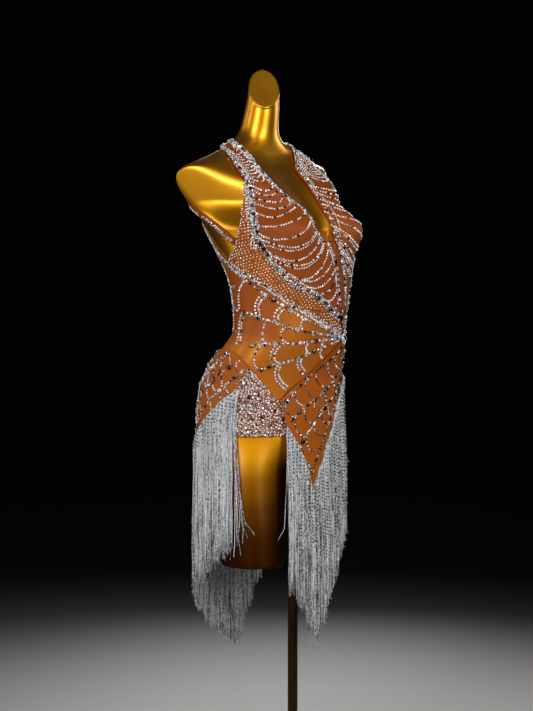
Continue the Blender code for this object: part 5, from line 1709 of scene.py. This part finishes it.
def fringe(name, hem, leave, spread, pitch, layers, lift=None, beads=None, seed=1, rings=17):
    r = np.random.default_rng(seed)
    L = through(hem, 1200)
    P, _ = worn(L[:, 0], L[:, 1], GAP_FRINGE, leave)
    s = np.concatenate([[0], np.cumsum(np.hypot(np.diff(P[:, 0]), np.diff(P[:, 1])))])
    st = Strands(name)
    bead = Stones("stones_" + name, MATS)
    for layer in range(layers):
        n = int(s[-1] / pitch)
        x = (np.arange(n) + r.random(n) * .9 + layer * .33) / n * s[-1]
        x = np.clip(x, .0006, s[-1] - .0006)
        t0 = np.interp(x, s, L[:, 0])
        z0 = np.interp(x, s, L[:, 1])
        length = FRINGE_LENGTH * (1 + r.normal(0, .020, n)) - .004 * layer
        length = length - (r.random(n) < .12) * r.random(n) * .040
        length = length + .0045 * np.sin(x * 265 + layer * 1.7) + .0040 * np.sin(x * 611 + layer)
        f = np.linspace(0, 1, rings)[None]
        z = z0[:, None] - .0006 - length[:, None] * f
        dep = GAP_FRINGE + spread * smooth(f * 1.6) + .0013 * layer + .0002
        ph = r.random((n, 4)) * 2 * pi
        grow = f ** 1.3
        clump = .0022 * np.sin(x[:, None] * 310 + 2.0 * f) + .0016 * np.sin(x[:, None] * 127 + 1 + 3 * f)
        side = (.0009 * np.sin(2 * pi * f * 1.1 + ph[:, :1]) * (.3 + grow)
                + .0006 * np.sin(2 * pi * f * 3.3 + ph[:, 1:2]) + clump * grow
                + r.normal(0, .0016, n)[:, None] * grow)
        deep = (.0007 * np.sin(2 * pi * f * 1.4 + ph[:, 2:3]) + .0004 * np.sin(2 * pi * f * 4.1 + ph[:, 3:])
                + .0010 * np.sin(x[:, None] * 210 + 1.3) * grow + r.normal(0, .0007, n)[:, None] * grow)
        t = t0[:, None] + np.degrees(side / .155)
        extra = 0.0
        if lift is not None:
            extra = lift(t0, z0)[:, None] * (1 - .3 * f)
        C, N = worn(t, z, 0.0, leave, creased=False)
        C = C + N * (dep + deep + extra)[..., None]
        R = np.full(C.shape[:2], .00066) * (1 + r.normal(0, .10, n))[:, None]
        R = R * (1 - .35 * smooth((f - .93) / .07))
        st.add(C, R, r.random(n) * 6)
        # frayed ends
        for k in range(1):
            d = unit(C[:, -1] - C[:, -2])
            go = unit(d + r.normal(0, .40, d.shape))
            ln = (.002 + r.random(n) * .008)[:, None]
            start = C[:, -2] + (C[:, -1] - C[:, -2]) * .75
            bend = start + go * ln * .55
            end = bend + unit(go + r.normal(0, .5, go.shape)) * ln * .5
            hair = np.stack([start, bend, end], 1)
            st.add(hair, np.full(hair.shape[:2], .00050) * np.array([1, .9, .6]), r.random(n) * 6)
        # curled snags along the lower half
        k = r.integers(rings // 2, rings - 2, n)
        start = C[np.arange(n), k]
        go = unit(C[np.arange(n), k + 1] - start + r.normal(0, .0045, start.shape))
        ln = (.003 + r.random(n) * .006)[:, None]
        bend = start + go * ln * .6 + N[np.arange(n), k] * .0006
        hair = np.stack([start, bend, bend + unit(go + r.normal(0, .6, go.shape)) * ln * .5], 1)
        st.add(hair, np.full(hair.shape[:2], .00050) * np.array([1, .9, .6]), r.random(n) * 6)
        if beads is not None and layer == layers - 1:
            for i in range(n):
                share = beads(t0[i], r, i)
                if share <= 0:
                    continue
                cum = np.arange(.003 + .002 * r.random(), length[i] * share, .0066)
                cum = cum + r.normal(0, .0004, len(cum))
                g = cum / length[i] * (rings - 1)
                k = np.minimum(g.astype(int), rings - 2)
                w = (g - k)[:, None]
                Q = C[i][k] * (1 - w) + C[i][k + 1] * w
                M = N[i][k]
                bead.add("bead", Q + M * .0012, M, np.array([[0, 0, 1.0]]), .00160,
                         (r.random(len(Q)) < .94).astype(int), .2)
    st.build(YARN)
    if bead.items:
        bead.build()
    return st


def beads_front(t, r, i):
    if i % (7 if t < -6 else 5):
        return 0
    if t > 3:
        return .45 + .50 * r.random()
    return (.20 + .40 * r.random()) if r.random() < .8 else .9


def beads_back(t, r, i):
    if i % 6:
        return 0
    if r.random() < .10:
        return .75 + .1 * r.random()
    return .06 + .20 * r.random()


fringe("fringe_strands_front", FRONT_HEM[2:], .995, .0060, .00118, 4, beads=beads_front, seed=3)
fringe("fringe_strands_back_right", HIP_HEM[:10], .915, .0030, .00125, 4, lift=hem_wave,
       beads=beads_back, seed=5)
fringe("fringe_strands_back_left", HIP_HEM[9:], .915, .0030, .00125, 4, lift=hem_wave,
       beads=beads_back, seed=8)

# stray strands that hang free of the right thigh, curled at the ends
# root angle and height, end angle and height, curl
STRAYS = [
    dict(t=-63.6, z=.974, te=-57.0, ze=.712, curl=-.004), dict(t=-63.0, z=.974, te=-55.0, ze=.700, curl=.010),
    dict(t=-62.6, z=.972, te=-53.2, ze=.690, curl=-.006), dict(t=-62.9, z=.973, te=-52.4, ze=.704, curl=.016),
    dict(t=-62.2, z=.971, te=-58.4, ze=.668, curl=.004), dict(t=-62.0, z=.972, te=-54.2, ze=.708, curl=.022),
    dict(t=-63.4, z=.973, te=-59.6, ze=.684, curl=-.002), dict(t=-62.8, z=.972, te=-56.2, ze=.722, curl=.007),
    dict(t=-62.4, z=.973, te=-60.4, ze=.690, curl=.003), dict(t=-63.1, z=.974, te=-61.0, ze=.664, curl=-.003),
    dict(t=-20.4, z=.905, te=-24.5, ze=.694, curl=-.012),
]
st = Strands("fringe_strays")
f = np.linspace(0, 1, 26)
for k, s in enumerate(STRAYS):
    t = s["t"] + (s["te"] - s["t"]) * f ** 1.6 + np.degrees(s["curl"] / .15) * smooth((f - .86) / .14) ** 2
    t = t + .35 * np.sin(f * 9 + k * 1.7)
    z = s["z"] + (s["ze"] - s["z"]) * f
    C, N = worn(t, z, 0.0, .915, creased=False)
    C = C + N * (.0075 + .0022 * np.sin(f * 5 + k) + .004 * f)[:, None]
    st.add(C[None], np.full((1, 26), .0007), np.array([k * 1.0]))
st.build(YARN)


# ------------------------------------------------------------ stand
def lathe(name, rows, steps, mat):
    """Turned piece from (radius, height) rows that start and end on the axis."""
    V = [(0.0, 0.0, rows[0][1])]
    F = []
    inner = rows[1:-1]
    for r, z in inner:
        for k in range(steps):
            a = 2 * pi * k / steps
            V.append((r * cos(a), r * sin(a), z))
    V.append((0.0, 0.0, rows[-1][1]))
    end = len(V) - 1
    for k in range(steps):
        m = (k + 1) % steps
        F.append((0, 1 + k, 1 + m))
        for q in range(len(inner) - 1):
            a, b = 1 + q * steps, 1 + (q + 1) * steps
            F.append((a + k, b + k, b + m, a + m))
        a = 1 + (len(inner) - 1) * steps
        F.append((a + k, end, a + m))
    ob = mesh_object(name, V, F, mat)
    ob.data.set_sharp_from_angle(angle=radians(32))
    PANELS[name] = ob
    return ob


lathe("pole", [(0, .926), (.0088, .926), (POLE_R, .9252), (POLE_R, .0500), (POLE_R, .0073), (.0088, .0066),
               (0, .0066)], 64, BRONZE)
collar = [(0, .0060), (POLE_R + .0003, .0060), (POLE_R + .0003, .0440), (.0104, .0448), (.0150, .0450),
          (.0162, .0446), (.0172, .0436), (.0176, .0425), (.0182, .0300), (.0190, .0190), (.0202, .0155),
          (.0225, .0136), (.0262, .0126), (.0400, .0121), (.1000, .0106), (.1500, .0094), (.1800, .0086),
          (.1850, .0080), (.1880, .0068), (.1896, .0052), (.1900, .0035), (.1898, .0012), (.1890, .0),
          (.0, .0)]
lathe("base", collar, 128, BRONZE)

# ------------------------------------------------------------ riding and replacing
RESTS = "form"
REPLACE = {
    "cloth_cup_right": "cup_right", "cloth_cup_left": "cup_left",
    "cloth_centre_strip": "centre_strip", "cloth_band_right": "side_band_right",
    "cloth_band_left": "side_band_left", "cloth_neck_bridge": "neck_bridge",
    "cloth_midriff_front": "midriff_front", "cloth_midriff_left": "midriff_left",
    "cloth_back": "back_panel", "cloth_side_strap_right": "side_strap_right",
    "cloth_side_strap_left": "side_strap_left", "cloth_back_strap_right": "back_strap_right",
    "cloth_back_strap_left": "back_strap_left", "cloth_briefs": "briefs",
    "cloth_gusset": "briefs_gusset", "cloth_skirt_front": "skirt_front",
    "cloth_skirt_back": "skirt_back", "fringe_strands_front": "fringe_front",
    "fringe_strands_back_right": "fringe_back_right",
    "fringe_strands_back_left": "fringe_back_left", "pole": "stand_pole", "base": "stand_base",
}
PANELS["form"] = form
for name, ob in PANELS.items():
    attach(ob, "root")
    if name in REPLACE:
        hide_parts(REPLACE[name])
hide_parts("dress_form")

# ------------------------------------------------------------ stage
def stage_material(name, near, far, r0, r1, rough):
    m, nt, b = new_material(name)
    tc = nt.nodes.new("ShaderNodeTexCoord")
    ln = node(nt, "ShaderNodeVectorMath", operation="LENGTH")
    nt.links.new(tc.outputs["Object"], ln.inputs[0])
    mr = node(nt, "ShaderNodeMapRange")
    mr.inputs["From Min"].default_value = r0
    mr.inputs["From Max"].default_value = r1
    mr.interpolation_type = "SMOOTHSTEP"
    nt.links.new(ln.outputs["Value"], mr.inputs["Value"])
    r = ramp(nt, [(0.0, near), (1.0, far)])
    nt.links.new(mr.outputs["Result"], r.inputs["Fac"])
    nt.links.new(r.outputs["Color"], b.inputs["Base Color"])
    b.inputs["Roughness"].default_value = rough
    b.inputs["Specular IOR Level"].default_value = 0.2
    return m


# painted falloff of light: the floor is pale around the stand and painted darker with distance, to near black
FLOOR = stage_material("floor_painted_falloff", (0.55, 0.54, 0.53), (0.010, 0.010, 0.011), 1.0, 3.4, 0.85)
rows = [(0, -.0004)] + [(r, -.0004) for r in (.3, .6, 1, 1.6, 2.4, 3.4, 4.6, 6.0, 7.5)]
rows += [(7.5 + 2.0 * sin(radians(a)), 2.0 - 2.0 * cos(radians(a)) - .0004) for a in range(10, 91, 10)]
rows += [(9.5, 4.0), (9.5, 7.0)]
V, F, steps = [], [], 96
for r, z in rows[1:]:
    for k in range(steps):
        a = 2 * pi * k / steps
        V.append((r * cos(a), r * sin(a), z))
for q in range(len(rows) - 2):
    for k in range(steps):
        m = (k + 1) % steps
        F.append((q * steps + k, (q + 1) * steps + k, (q + 1) * steps + m, q * steps + m))
F.append(tuple(range(steps)))
floor = mesh_object("floor", V, F, FLOOR)
floor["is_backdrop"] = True

# ------------------------------------------------------------ camera and light
cam_data = bpy.data.cameras.new("camera")
cam_data.lens = 90.82
cam_data.sensor_width = 36.0
cam = bpy.data.objects.new("camera", cam_data)
bpy.context.scene.collection.objects.link(cam)
cam.location = (-2.3556, -2.4523, 1.27)
aim = Vector((-0.0368, 0.0343, 1.034))
cam.rotation_euler = (aim - cam.location).to_track_quat("-Z", "Y").to_euler()
cam_data.clip_end = 60
bpy.context.scene.camera = cam

RIGHT = np.array((0.731, -0.682, 0.0))
TOWARD = np.array((-0.682, -0.731, 0.0))


def softbox(name, right, toward, height, wide, high, power, spread=180, aim_z=1.05):
    data = bpy.data.lights.new(name, "AREA")
    data.shape = "RECTANGLE"
    data.size, data.size_y = wide, high
    data.energy = power
    data.spread = radians(spread)
    ob = bpy.data.objects.new(name, data)
    bpy.context.scene.collection.objects.link(ob)
    p = RIGHT * right + TOWARD * toward + np.array((0, 0, height))
    ob.location = p
    ob.rotation_euler = (Vector((0, 0.03, aim_z)) - Vector(p)).to_track_quat("-Z", "Y").to_euler()
    ob.visible_camera = False
    return ob


softbox("key", -0.95, 2.60, 1.80, 0.66, 1.60, 8.0, 84, 1.25)
softbox("high", -0.4, 1.9, 3.0, 1.1, 1.1, 2.2, 84, 1.25)
softbox("crown", 0.35, 0.95, 3.1, 0.9, 0.9, 0.18, 60, 1.40)
softbox("fill", 1.7, 2.1, 1.75, 0.40, 1.60, 7.4, 84, 1.05)
softbox("low", -1.3, 2.5, 0.75, 0.50, 0.4, 0.20, 70, 1.35)
softbox("side", -2.7, 0.7, 1.40, 0.50, 1.5, 5.0, 120)
softbox("edge_left", -2.5, -0.9, 1.7, 0.40, 1.3, 1.6, 120)
softbox("edge_right", 2.4, -1.3, 1.8, 0.40, 1.3, 5.5, 120)
softbox("behind", 0.1, -2.8, 1.45, 0.90, 1.6, 22, 120)

world = bpy.data.worlds.new("studio")
bpy.context.scene.world = world
world.use_nodes = True
bg = world.node_tree.nodes["Background"]
bg.inputs["Color"].default_value = (0.85, 0.83, 0.80, 1)
bg.inputs["Strength"].default_value = 0.045
bpy.context.scene.view_settings.view_transform = "Standard"

# ------------------------------------------------------------ measured sizes
lo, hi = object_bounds()
